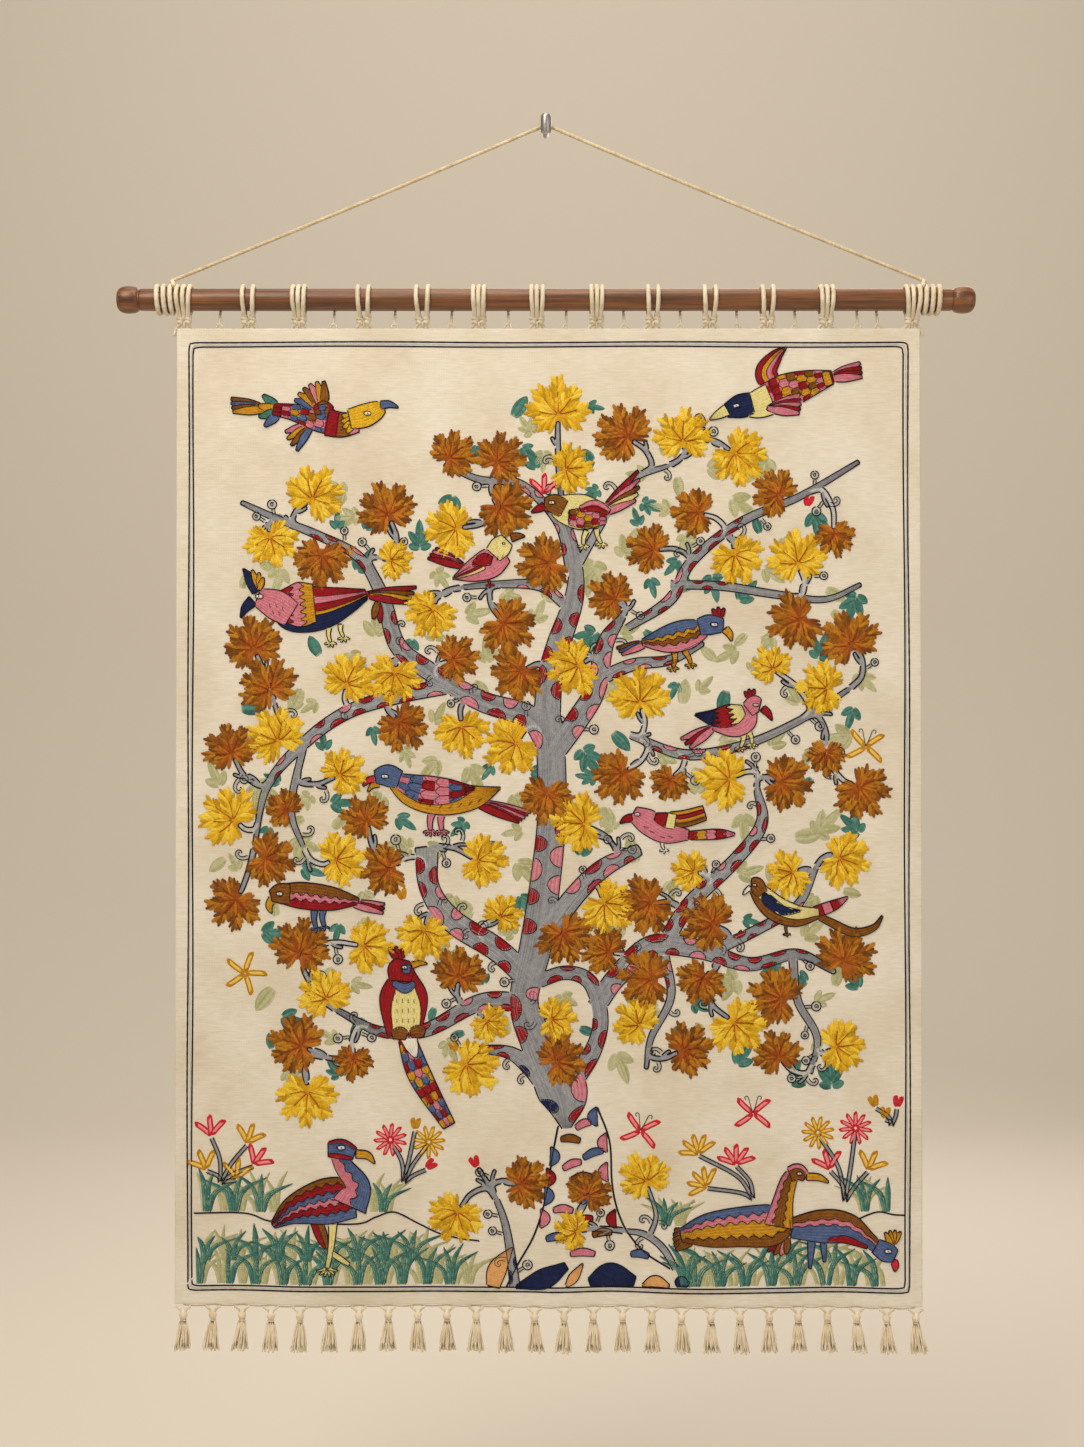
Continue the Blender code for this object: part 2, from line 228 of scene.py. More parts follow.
# %% Lamps
LAMPS = (
    # name, place, aimed at, size, power in watts, colour
    ("key_lamp", (-1.3, -2.2, 1.5), (0.0, 0.0, -0.55), 1.6, 56.0, "FFF7EC"),
    ("fill_lamp", (2.2, -2.6, -0.2), (0.0, 0.0, -0.8), 2.2, 18.0, "F6F6FF"),
    ("top_lamp", (0.0, -0.62, 1.35), (0.0, -0.02, -0.3), 0.8, 11.0, "FFEBCC"),
    ("back_lamp", (0.8, 2.4, 0.6), (0.0, 0.0, -0.8), 2.0, 30.0, "FFF8F0"),
    ("wall_lamp", (0.0, 1.2, 3.2), (0.0, 4.6, -0.2), 2.6, 55.0, "FFF4E4"),
)


def make_lamps():
    """Square area lamps, each aimed at a point, and a pale world round them."""
    for name, place, aim, size, power, code in LAMPS:
        data = bpy.data.lights.new(name, "AREA")
        data.size = size
        data.energy = power
        data.color = colour(code)[:3]
        lamp = bpy.data.objects.new(name, data)
        bpy.context.scene.collection.objects.link(lamp)
        lamp.location = place
        lamp.rotation_euler = (Vector(aim) - Vector(place)).to_track_quat("-Z", "Y").to_euler()
    world = bpy.data.worlds.new("studio_air")
    world.use_nodes = True
    bpy.context.scene.world = world
    tree = world.node_tree
    connect(tree, tree.nodes["Background"], {"Color": colour("EDE6DC"), "Strength": 0.46})


make_lamps()

# %% Floor
FLOOR_Z = cad_low[2] - 0.35
FLOOR_BACK = 4.6
FLOOR_CURVE = 1.5
FLOOR_WIDTH = 30.0


def make_floor():
    """A plain floor that curves up into a backdrop, well behind the object."""
    deselect()
    bpy.ops.mesh.primitive_plane_add(size=1, location=(0, 0, FLOOR_Z))
    floor = bpy.context.object
    floor.name = "studio_floor"
    floor.scale = (FLOOR_WIDTH, 8.0, 1.0)
    floor.location.y = FLOOR_BACK - FLOOR_CURVE - 4.0
    place_in_mesh(floor)
    select_edges(floor, lambda edge: all(vert.co.y > 0 for vert in edge.verts))
    bpy.ops.mesh.spin(
        steps=16, angle=math.radians(-90), axis=(1, 0, 0),
        center=(0, FLOOR_BACK - FLOOR_CURVE, FLOOR_Z + FLOOR_CURVE),
    )
    bpy.ops.mesh.extrude_region_move(TRANSFORM_OT_translate={"value": (0, 0, 5.0)})
    bpy.ops.mesh.select_all(action="SELECT")
    bpy.ops.mesh.remove_doubles(threshold=0.001)
    bpy.ops.mesh.normals_make_consistent(inside=True)
    bpy.ops.object.mode_set(mode="OBJECT")
    print("floor rises to", round(max(vert.co.z for vert in floor.data.vertices), 2))
    material, tree, shader, _ = new_material("matt_paper_backdrop")
    connect(tree, shader, {"Base Color": colour("E2DACD"), "Roughness": 0.9})
    floor.data.shade_smooth()
    floor.data.materials.append(material)


make_floor()

# %% [markdown]
# ## The cloth
# The panel is a plain-woven cotton, hemmed on all four sides. It hangs almost flat, with a few soft
# folds that grow towards the hem, and it is drawn in a little round the stitching. It is one grid,
# closer-spaced along its edges, where its outermost lines turn back behind it as the hem does. The same
# depth function tells the embroidery where the cloth's face is.

# %% Cloth shape
CLOTH_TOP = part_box("panel_cloth")[1][2]
CLOTH_BOTTOM = -1.4395
CLOTH_BOTTOM_SLOPE = -0.0033
CLOTH_CENTRE = 0.003
CLOTH_TOP_WIDTH = 0.909
CLOTH_BOTTOM_WIDTH = 0.917
CLOTH_HEIGHT = CLOTH_TOP - CLOTH_BOTTOM
CLOTH_Y = -0.024
CLOTH_DRIFT = 0.007
CLOTH_THICKNESS = 0.0011
HEM_WIDTH = 0.0105
FOLDS = (
    # x, lean, start, width, depth: + is towards the wall
    (-0.395, 0.010, 0.10, 0.060, 0.0035),
    (-0.290, -0.015, 0.35, 0.050, -0.0035),
    (-0.150, 0.010, 0.45, 0.060, 0.0040),
    (0.012, 0.004, 0.66, 0.036, -0.0045),
    (0.085, 0.000, 0.60, 0.045, 0.0035),
    (0.205, -0.020, 0.40, 0.060, -0.0040),
    (0.330, 0.020, 0.25, 0.055, 0.0035),
    (0.425, 0.000, 0.15, 0.040, -0.0030),
)
CREASES = (
    # x, down, length, width, turn in degrees, depth: short soft creases in the field
    (0.010, 0.90, 0.160, 0.0060, 88, -0.0012),
    (0.022, 0.93, 0.120, 0.0050, 92, 0.0010),
    (0.300, 0.86, 0.110, 0.0070, 35, -0.0010),
    (0.360, 0.92, 0.090, 0.0060, 62, -0.0011),
    (-0.335, 0.80, 0.120, 0.0080, 118, -0.0009),
    (-0.180, 0.93, 0.100, 0.0060, 80, -0.0010),
    (0.190, 0.09, 0.150, 0.0080, 12, -0.0007),
    (-0.330, 0.12, 0.130, 0.0080, 165, -0.0007),
    (0.400, 0.45, 0.200, 0.0090, 96, -0.0010),
    (-0.415, 0.55, 0.220, 0.0090, 86, -0.0010),
)


def soft_step(value):
    """0 below 0, 1 above 1, and an even rise between them, for numbers or arrays."""
    value = np.clip(value, 0.0, 1.0)
    return value * value * (3.0 - 2.0 * value)


def cloth_depth(x, z):
    """The y of the cloth's middle surface at these x and z."""
    down = (CLOTH_TOP - z) / CLOTH_HEIGHT
    y = CLOTH_Y + CLOTH_DRIFT * down**2
    for fold_x, lean, start, width, depth in FOLDS:
        across = (x - fold_x - lean * down) / width
        y = y + depth * soft_step((down - start) / 0.3) * np.exp(-across * across)
    for crease_x, crease_down, length, width, turn, depth in CREASES:
        dx, dz = x - crease_x, z - (CLOTH_TOP - crease_down * CLOTH_HEIGHT)
        c, s = math.cos(math.radians(turn)), math.sin(math.radians(turn))
        along, across = (dx * c + dz * s) / length, (dz * c - dx * s) / width
        y = y + depth * np.exp(-4 * along * along - across * across)
    pucker = np.sin(x * 97 + 2.1 * np.sin(z * 41)) * np.sin(z * 88 + 1.7 * np.sin(x * 37))
    return y + 0.00022 * pucker * soft_step(down * 12) * soft_step((1 - down) * 12)


def cloth_bottom(x):
    """The z of the lower hem."""
    return CLOTH_BOTTOM + CLOTH_BOTTOM_SLOPE * (x - CLOTH_CENTRE)


def cloth_width(down):
    """The panel's width this share of the way down."""
    return CLOTH_TOP_WIDTH + (CLOTH_BOTTOM_WIDTH - CLOTH_TOP_WIDTH) * down


def on_cloth(points, lift=0.0):
    """World places of design points on the cloth's face. A design point is in millimetres: x from the
    panel's centre line, and up from its lower hem. lift is in millimetres off the face."""
    points = reals(points)
    down = 1 - points[..., 1] * MM / CLOTH_HEIGHT
    x = CLOTH_CENTRE + points[..., 0] * MM * cloth_width(down) / CLOTH_BOTTOM_WIDTH
    z = cloth_bottom(x) + points[..., 1] * MM * (CLOTH_TOP - cloth_bottom(x)) / CLOTH_HEIGHT
    y = cloth_depth(x, z) - CLOTH_THICKNESS / 2 - np.asarray(lift) * MM
    return np.stack([x, y, z], axis=-1)


PANEL_WIDTH = CLOTH_BOTTOM_WIDTH / MM
PANEL_HEIGHT = CLOTH_HEIGHT / MM
print("panel", round(PANEL_WIDTH), "by", round(PANEL_HEIGHT), "mm")

# %% Cotton cloth material
def cotton_panel():
    """Plain-woven unbleached cotton, washed: matt, faintly mottled, with slubs and a quilted ground.
    The real threads are 0.7 mm apart, so the weave is drawn about four times as coarse to show."""
    material, tree, shader, place = new_material("washed_plain_cotton")
    cloud = add_node(tree, "TexNoise", {"Vector": place, "Scale": 11.0, "Detail": 6.0})
    ground = add_node(tree, "ValToRGB", {0: cloud}, [(0.22, "DDD1BA"), (0.78, "F1EADC"), (0.48, "E8DFCC")])
    stretched = add_node(tree, "Mapping", {"Vector": place, "Scale": (60.0, 1.0, 420.0)})
    slub = add_node(tree, "TexNoise", {"Vector": stretched, "Scale": 1.0, "Detail": 2.0})
    slubs = add_node(tree, "ValToRGB", {0: slub}, [(0.38, "E3D6BC"), (0.62, "FFFFFF")])
    mixed = add_node(tree, "Mix", {0: 0.28, 6: ground, 7: slubs}, data_type="RGBA", blend_type="MULTIPLY")
    warp, weft = [
        add_node(
            tree, "TexWave", {"Vector": place, "Scale": 105.0, "Distortion": 1.2, "Detail": 1.0},
            bands_direction=axis,
        )
        for axis in "XZ"
    ]
    weave = add_node(tree, "Math", {0: warp.outputs[1], 1: weft.outputs[1]}, operation="MULTIPLY")
    quilt = add_node(tree, "TexVoronoi", {"Vector": place, "Scale": 72.0}, feature="SMOOTH_F1")
    bump = add_node(tree, "Bump", {"Height": weave, "Distance": 0.0003, "Strength": 0.35})
    soft = add_node(tree, "Bump", {"Height": quilt, "Distance": 0.0016, "Strength": 0.35, "Normal": bump})
    connect(tree, shader, {
        "Base Color": mixed.outputs[2], "Normal": soft, "Roughness": 0.92, "Sheen Weight": 0.25,
        "Sheen Roughness": 0.5, "Specular IOR Level": 0.2,
    })
    return material


# %% Cloth piece
CLOTH_COLUMNS = 176
CLOTH_ROWS = 232
HEM_PROFILE = ((0.0095, 1.0), (0.0040, 1.0), (0.0005, 0.9), (0.0, 0.5), (0.0005, 0.1))
STITCH_PITCH = 0.0115


def edge_steps(count, length):
    """For each grid line: how far it is from the low edge, and 1 where it lies in the turned-back hem.
    The first and last lines go round the edge and a little way up the back."""
    hem = len(HEM_PROFILE)
    inner = np.linspace(0, 1, count + 1 - 2 * hem)
    inner = inner - 0.30 * np.sin(2 * math.pi * inner) / (2 * math.pi)
    front = 0.0018 + inner * (length - 0.0036)
    away = [distance for distance, _ in HEM_PROFILE]
    behind = [share for _, share in HEM_PROFILE]
    places = np.concatenate([away, front, length - np.array(away[::-1])])
    shares = np.concatenate([behind, np.zeros(len(front)), behind[::-1]])
    return places, shares


def hem_relief(left, right, top, bottom):
    """Extra depth near the edges, from the distances to them: the double layer of the hem stands
    forward, its stitched line sinks in, and the cloth puckers between the stitches."""
    near = np.minimum(np.minimum(left, right), np.minimum(top, bottom))
    band = -0.00035 * soft_step((HEM_WIDTH - near) / 0.0012)
    groove = 0.00045 * np.exp(-(((near - HEM_WIDTH) / 0.0009) ** 2))
    along = np.where(np.minimum(top, bottom) < np.minimum(left, right), left, top)
    wave = np.sin(2 * math.pi * along / STITCH_PITCH + 1.3 * np.sin(along * 40))
    pucker = 0.00022 * wave * np.exp(-(((near - HEM_WIDTH * 0.8) / 0.008) ** 2))
    return band + groove + pucker


def make_cloth():
    """The panel as one thin sheet, with its hem turned to the back on all four sides."""
    deselect()
    bpy.ops.mesh.primitive_grid_add(x_subdivisions=CLOTH_COLUMNS, y_subdivisions=CLOTH_ROWS, size=2)
    cloth = bpy.context.object
    cloth.name = "embroidered_panel"
    flat = np.empty(len(cloth.data.vertices) * 3)
    cloth.data.vertices.foreach_get("co", flat)
    column = np.rint((flat[0::3] + 1) / 2 * CLOTH_COLUMNS).astype(int)
    row = np.rint((flat[1::3] + 1) / 2 * CLOTH_ROWS).astype(int)
    across, side_share = edge_steps(CLOTH_COLUMNS, PANEL_WIDTH * MM)
    up, end_share = edge_steps(CLOTH_ROWS, PANEL_HEIGHT * MM)
    left, low = across[column], up[row]
    right, high = PANEL_WIDTH * MM - left, PANEL_HEIGHT * MM - low
    behind = np.maximum(side_share[column], end_share[row])
    design = np.stack([(left - right) / 2 / MM, low / MM], axis=-1)
    places = on_cloth(design)
    relief = hem_relief(left, right, high, low) * (behind < 0.2)
    places[:, 1] += relief + behind * 1.4 * CLOTH_THICKNESS
    cloth.data.vertices.foreach_set("co", places.ravel())
    cloth.data.update()
    finish_piece(cloth, cotton_panel(), "panel_cloth")
    print("cloth faces", len(cloth.data.polygons))
    return cloth


panel = make_cloth()

# %% [markdown]
# ## Cords
# Everything that ties this piece together is cotton cord, laid up from strands that twist round each
# other. A cord is swept along its path as one closed tube whose section has a shallow lobe for each
# strand, and the section turns as it goes, so the twist is real shape and catches the light. The path
# is first read from a smooth curve through a few points.

# %% Cord sweep
def run_along(line):
    """How far along a line each of its points is."""
    return np.concatenate([[0], np.cumsum(np.linalg.norm(np.diff(line, axis=0), axis=1))])


def line_at(at, run, line):
    """The points of a line at these distances along it."""
    return np.stack([np.interp(at, run, column) for column in line.T], axis=-1)


def smooth_route(points, spacing):
    """Evenly spaced points on a Catmull-Rom curve through these ones."""
    points = reals(points)
    ends = np.vstack([2 * points[0] - points[1], points, 2 * points[-1] - points[-2]])
    t = np.linspace(0, 1, 12, endpoint=False)[:, None]
    fine = [
        0.5 * (2 * start + (stop - before) * t + (2 * before - 5 * start + 4 * stop - after) * t**2
               + (3 * start - before - 3 * stop + after) * t**3)
        for before, start, stop, after in zip(ends, ends[1:], ends[2:], ends[3:])
    ]
    fine = np.vstack([*fine, points[-1:]])
    return even_points(fine, spacing)


def even_points(line, spacing):
    """Points at even distances along a line, ends kept."""
    run = run_along(line)
    count = max(2, int(round(run[-1] / spacing)) + 1)
    at = np.linspace(0, run[-1], count)
    return line_at(at, run, line)


def swept(path, radius, sides=10, lobes=3, lobe_depth=0.12, lay=6.0, turn=0.0):
    """Points and four-sided faces of a closed tube along a path. radius is one number or one for each
    point. lay is how many radii long one full turn of the strands is; the ends are rounded shut."""
    path = reals(path)
    radius = np.broadcast_to(reals(radius), len(path)).copy()
    tangent = np.gradient(path, axis=0)
    tangent /= np.linalg.norm(tangent, axis=1)[:, None]
    side = np.cross(tangent[0], (0.31, 0.83, 0.46))
    sides_out = []
    for direction in tangent:
        side = side - direction * side.dot(direction)
        side /= np.linalg.norm(side)
        sides_out.append(side)
    side = np.array(sides_out)
    other = np.cross(tangent, side)
    run = run_along(path)
    twist = turn + 2 * math.pi * run / (lay * radius.mean())
    angle = np.linspace(0, 2 * math.pi, sides, endpoint=False)
    shape = 1 - lobe_depth * (1 - np.abs(np.cos(lobes * angle / 2)))
    theta = angle[None, :] + twist[:, None]
    reach = radius[:, None] * shape[None, :]
    ring = path[:, None, :] + reach[..., None] * (
        np.cos(theta)[..., None] * side[:, None, :] + np.sin(theta)[..., None] * other[:, None, :]
    )
    start_cap = path[0] + 0.45 * (ring[0] - path[0]) - tangent[0] * radius[0] * 0.45
    end_cap = path[-1] + 0.45 * (ring[-1] - path[-1]) + tangent[-1] * radius[-1] * 0.45
    rings = np.concatenate([start_cap[None], ring, end_cap[None]])
    points = np.vstack([rings.reshape(-1, 3), start_cap.mean(axis=0), end_cap.mean(axis=0)])
    rows, columns = len(rings), sides
    first = np.arange(columns)
    after = (first + 1) % columns
    base = (np.arange(rows - 1) * columns)[:, None]
    quads = np.stack([base + first, base + after, base + columns + after, base + columns + first], -1)
    quads = quads.reshape(-1, 4)
    last = (rows - 1) * columns
    low, high = len(points) - 2, len(points) - 1
    half = np.arange(0, columns, 2)
    caps = [[low, (i + 2) % columns, (i + 1) % columns, i] for i in half]
    caps += [[high, last + i, last + (i + 1) % columns, last + (i + 2) % columns] for i in half]
    return points, np.vstack([quads, caps])


def joined(parts):
    """One set of points and faces from several."""
    points, faces, count = [], [], 0
    for part_points, part_faces in parts:
        points.append(part_points)
        faces.append(part_faces + count)
        count += len(part_points)
    return np.vstack(points), np.vstack(faces)


# %% Cotton cord material
def cotton_cord(name, dark, light, fuzz):
    """Soft spun cotton, unbleached: quite matt, with a bright fuzz at its edges and fine fibres."""
    material, tree, shader, place = new_material(name)
    tone = add_node(tree, "TexNoise", {"Vector": place, "Scale": 90.0, "Detail": 3.0})
    ramp = add_node(tree, "ValToRGB", {0: tone}, [(0.3, dark), (0.7, light)])
    fibre = add_node(tree, "TexNoise", {"Vector": place, "Scale": 1400.0, "Detail": 2.0})
    bump = add_node(tree, "Bump", {"Height": fibre, "Distance": 0.0004, "Strength": fuzz})
    connect(tree, shader, {
        "Base Color": ramp, "Normal": bump, "Roughness": 0.88, "Sheen Weight": 0.35,
        "Specular IOR Level": 0.2,
    })
    return material


CORD_COTTON = cotton_cord("spun_cotton_cord", "DCCBA8", "F3E8CF", 0.35)
ROPE_COTTON = cotton_cord("laid_cotton_rope", "C9B48C", "E8D8B4", 0.45)
YARN_COTTON = cotton_cord("loose_cotton_yarn", "E2CFA8", "F7EAD0", 0.35)

# %% [markdown]
# ## The hanging cord and its wraps
# The cord is one length of laid cotton, wound three times round the rod near each end, and taken over
# the peg between them. It is taut, so its two stretches are almost straight. The turns that tie it are
# pieces of their own.

# %% Hanging cord
CORD_DIAMETER = 0.005
CORD_ROUTE = (
    # x, z in the rod's plane
    (-0.4580, -0.1837), (-0.4300, -0.1724), (-0.3900, -0.1560), (-0.3300, -0.1315), (-0.2600, -0.1026),
    (-0.1900, -0.0734), (-0.1200, -0.0439), (-0.0600, -0.0184), (-0.0250, -0.0033), (-0.0100, 0.0031),
    (-0.0045, 0.0054), (0.0000, 0.0063), (0.0045, 0.0054), (0.0100, 0.0031), (0.0250, -0.0032),
    (0.0600, -0.0182), (0.1200, -0.0434), (0.1900, -0.0725), (0.2600, -0.1014), (0.3300, -0.1300),
    (0.3950, -0.1563), (0.4330, -0.1716), (0.4633, -0.1837),
)


def make_hanging_cord():
    """The taut cord over the peg, as a three-strand laid rope."""
    route = smooth_route([(x, ROD_CENTRE.y, z) for x, z in CORD_ROUTE], 0.0016)
    cord = mesh_piece(
        "rope_over_peg", *swept(route, CORD_DIAMETER / 2, sides=12, lobe_depth=0.26, lay=6.5),
        ROPE_COTTON, "cotton_cord", "hanging_cord",
    )


make_hanging_cord()


# %% Wraps round the rod
WRAP_RADIUS = 0.0031
WRAP_PITCH = 0.0082
HITCH_RADIUS = 0.0027


def around_rod(x, reach, degrees):
    """A point beside the rod's axis. 0 degrees is above it and 90 is in front."""
    angle = math.radians(degrees)
    return (x, ROD_CENTRE.y - reach * math.sin(angle), ROD_CENTRE.z + reach * math.cos(angle))


def make_wrap(side):
    """Three turns and a hitch over the last one, where the hanging cord leaves it."""
    low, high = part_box(f"cord_wrap_{side}")
    inward = 1 if side == "left" else -1
    radius, pitch = WRAP_RADIUS, WRAP_PITCH
    outer = (low[0] if side == "left" else high[0]) + inward * radius
    reach = ROD_RADIUS + radius
    turns = []
    for step in range(-6, 102):
        degrees = step * 10
        turn, share = divmod(degrees / 360, 1.0)
        across = min(turn + float(soft_step((share - 0.42) / 0.55)), 2.0) if step > 0 else 0.0
        slant = 0.0011 * math.sin(math.radians(degrees - 60))
        turns.append(around_rod(outer + inward * (across * pitch + slant), reach, degrees))
    inner = outer + inward * 2 * pitch
    hitch = [
        around_rod(inner + inward * out, reach + rise, degrees)
        for out, rise, degrees in (
            (-0.0045, 0.0005, -62), (-0.0030, 0.0026, -36), (-0.0008, 0.0052, -8), (0.0020, 0.0054, 14),
            (0.0042, 0.0030, 40),
        )
    ]
    parts = [
        swept(smooth_route(turns, 0.0019), radius, lobe_depth=0.14, lay=7.0),
        swept(smooth_route(hitch, 0.0016), HITCH_RADIUS, lobe_depth=0.16, lay=7.0),
    ]
    mesh_piece(f"rope_turns_{side}", *joined(parts), CORD_COTTON, "cotton_cord", f"cord_wrap_{side}")


make_wrap("left")
make_wrap("right")

# %% [markdown]
# ## Hangers and ties
# Each hanger is two or three loops of cord over the rod. Below it they are gathered into two wound
# knots, and three ends spread out and are sewn behind the hem. Between the hangers a thin two-ply tie
# runs from the hem to the back of the rod. No two hangers are quite alike, so small shifts come from a
# seeded draw.

# %% Hangers
HANGERS = (
    # strands, spacing
    (3, 0.0078), (2, 0.0126), (3, 0.0070), (2, 0.0133), (2, 0.0140), (3, 0.0067), (3, 0.0070),
    (3, 0.0070), (2, 0.0127), (2, 0.0133), (2, 0.0133), (3, 0.0074), (3, 0.0078),
)
STRAND_RADIUS = 0.0029
KNOT_OFFSET = 0.0047
KNOT_Y = -0.0225
KNOT_Z = -0.2312
LEG_Y = -0.0194
LEG_RADIUS = 0.0024


def strand_route(top_x, knot_x, sway):
    """A loop from its knot, up the front of the rod, over it and down the back to the knot."""
    reach = ROD_RADIUS + STRAND_RADIUS
    points = [(knot_x, KNOT_Y - 0.0010, KNOT_Z + 0.001)]
    for degrees in range(128, -129, -16):
        pull = max(0.0, (abs(degrees) - 50) / 90)
        x = top_x + (knot_x - top_x) * 0.55 * pull**2 + sway * math.sin(math.radians(degrees))
        points.append(around_rod(x, reach, degrees))
    return [*points, (knot_x, KNOT_Y + 0.0014, KNOT_Z + 0.001)]


def wound_knot(x, tilt, turns=2.6):
    """An oval knot: a soft core with a cord wound slantwise round it."""
    core = swept(
        [(x + tilt * s * 0.006, KNOT_Y, KNOT_Z + 0.0074 * s) for s in (-1, -0.6, -0.2, 0.2, 0.6, 1)],
        (0.0020, 0.0034, 0.0039, 0.0039, 0.0034, 0.0020), lobe_depth=0.1,
    )
    winding = []
    for step in range(int(turns * 14) + 1):
        share = step / (turns * 14)
        angle = 2 * math.pi * turns * share
        level = 2 * share - 1
        reach = 0.0034 * math.sqrt(max(0.12, 1 - 0.8 * level * level))
        winding.append((
            x + tilt * level * 0.006 + reach * math.cos(angle),
            KNOT_Y - 1.05 * reach * math.sin(angle),
            KNOT_Z + 0.0060 * level + 0.0009 * math.sin(angle),
        ))
    return [core, swept(winding, 0.0018, sides=8, lobes=2, lobe_depth=0.1)]


def make_hangers():
    """All the hangers, each in its CAD node's place."""
    draw = random.Random(11)
    for number, (strands, spacing) in enumerate(HANGERS, 1):
        low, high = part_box(f"hanger_{number:02d}")
        x = (low[0] + high[0]) / 2
        parts = []
        for strand in range(strands):
            across = strand - (strands - 1) / 2
            knot_x = x + KNOT_OFFSET * max(-1.0, min(1.0, 2 * across))
            route = strand_route(x + across * spacing, knot_x, draw.uniform(-0.0005, 0.0005))
            parts.append(
                swept(smooth_route(route, 0.0022), STRAND_RADIUS * draw.uniform(0.95, 1.02),
                      lobe_depth=0.08, lay=9.0, turn=draw.uniform(0, 6))
            )
        for side in (-1, 1):
            parts += wound_knot(x + side * KNOT_OFFSET, draw.uniform(-0.1, 0.1) + side * 0.08)
        for side in (-1, 0, 1):
            start = x + side * KNOT_OFFSET
            spread = side * 0.0125 + draw.uniform(-0.0008, 0.0008)
            leg = [
                (start, KNOT_Y, KNOT_Z - 0.003),
                (start + side * 0.0016, KNOT_Y + 0.001, KNOT_Z - 0.0072),
                (x + spread * 0.80, LEG_Y, CLOTH_TOP + 0.0006),
                (x + spread, LEG_Y + 0.0002, CLOTH_TOP - 0.0078),
            ]
            parts.append(swept(smooth_route(leg, 0.0016), LEG_RADIUS, sides=8, lobes=2, lobe_depth=0.12))
        name = f"hanger_{number:02d}"
        mesh_piece("cord_" + name, *joined(parts), CORD_COTTON, "cotton_cord", name)


make_hangers()


# %% Ties
TIE_COUNT = 12
TIE_RADIUS = 0.0020
FOOT_RADIUS = 0.0017


def make_ties():
    """The thin ties, each a two-ply twist with a forked foot."""
    draw = random.Random(5)
    for number in range(1, TIE_COUNT + 1):
        low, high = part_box(f"tie_{number:02d}")
        x = (low[0] + high[0]) / 2
        lean = draw.uniform(-0.0012, 0.0012)
        stem = [
            around_rod(x + lean, ROD_RADIUS + 0.0018, 274),
            around_rod(x + lean, ROD_RADIUS + 0.0020, 248),
            around_rod(x + lean * 0.6, ROD_RADIUS + 0.0026, 218),
            (x, LEG_Y - 0.0006, CLOTH_TOP + 0.0060),
        ]
        parts = [swept(smooth_route(stem, 0.0011), TIE_RADIUS, sides=8, lobes=2, lobe_depth=0.42, lay=5.0)]
        for side in (-1, 1):
            foot = [
                (x, LEG_Y - 0.0006, CLOTH_TOP + 0.0068),
                (x + side * 0.0036, LEG_Y - 0.0003, CLOTH_TOP + 0.0030),
                (x + side * 0.0052, LEG_Y, CLOTH_TOP - 0.0045),
            ]
            parts.append(
                swept(smooth_route(foot, 0.0010), FOOT_RADIUS, sides=8, lobes=2, lobe_depth=0.3, lay=5.0)
            )
        name = f"tie_{number:02d}"
        mesh_piece("thread_" + name, *joined(parts), CORD_COTTON, "cotton_cord", name)


make_ties()

# %% [markdown]
# ## Tassels and the hem's edging
# A tassel is a hank of loose yarn, doubled over a loop at the hem and bound into a head. Its skirt of
# about two dozen yarns flares and hangs a little to one side, with uneven cut ends. One skirt is a few
# dozen thin tubes, and each tassel gets its own seeded draw, because a row of equal copies looks cast.

# %% Tassels
TASSEL_COUNT = 26
FIRST_TASSEL = -0.445
TASSEL_PITCH = 0.03593
HEAD_RADIUS = 0.0052
HEAD_DROP = 0.0127
TIP_DROP = 0.0565
YARNS = 25


def yarn_skirt(x, y, hem, lean, draw):
    """The yarns of one skirt, from under the head to their uneven ends."""
    yarns = []
    for number in range(YARNS):
        turn = 2 * math.pi * (number * 0.618 % 1.0)
        inner = math.sqrt((number + 0.5) / YARNS)
        out_x, out_y = inner * math.cos(turn), inner * math.sin(turn)
        tip = TIP_DROP - 0.0035 * draw.random() - 0.0025 * (1 - inner)
        wave = draw.uniform(-0.0010, 0.0010)
        line = []
        for share in (0.0, 0.2, 0.45, 0.75, 0.97, 1.0):
            flare = 0.0030 + 0.0078 * share**0.8
            line.append((
                x + lean * share**1.3 + out_x * flare + wave * math.sin(share * 5 + number),
                y + 0.62 * out_y * flare,
                hem - HEAD_DROP - 0.0035 - share * (tip - HEAD_DROP - 0.0035),
            ))
        radius = np.array([0.0010, 0.0012, 0.0013, 0.0014, 0.0014, 0.0011]) * draw.uniform(0.9, 1.12)
        yarns.append(swept(line, radius, sides=6, lobes=2, lobe_depth=0.3, lay=9.0, turn=draw.uniform(0, 6)))
    return yarns


def bound_head(x, y, hem):
    """A wound ball and the tight neck binding under it."""
    shares = np.linspace(-1, 1, 9)
    ball = np.sqrt(np.maximum(0.10, 1 - 0.92 * shares**2)) * HEAD_RADIUS
    core = [(x, y, hem - HEAD_DROP - s * HEAD_RADIUS) for s in shares]
    parts = [swept(core, ball, sides=16, lobes=8, lobe_depth=0.08, lay=60.0)]
    neck = []
    for step in range(31):
        angle = 2 * math.pi * step / 13
        level = hem - HEAD_DROP - 0.0046 - 0.0021 * step / 30
        neck.append((x + 0.0034 * math.cos(angle), y + 0.0031 * math.sin(angle), level))
    parts.append(swept(neck, 0.0008, sides=6, lobes=2, lobe_depth=0.2))
    return parts


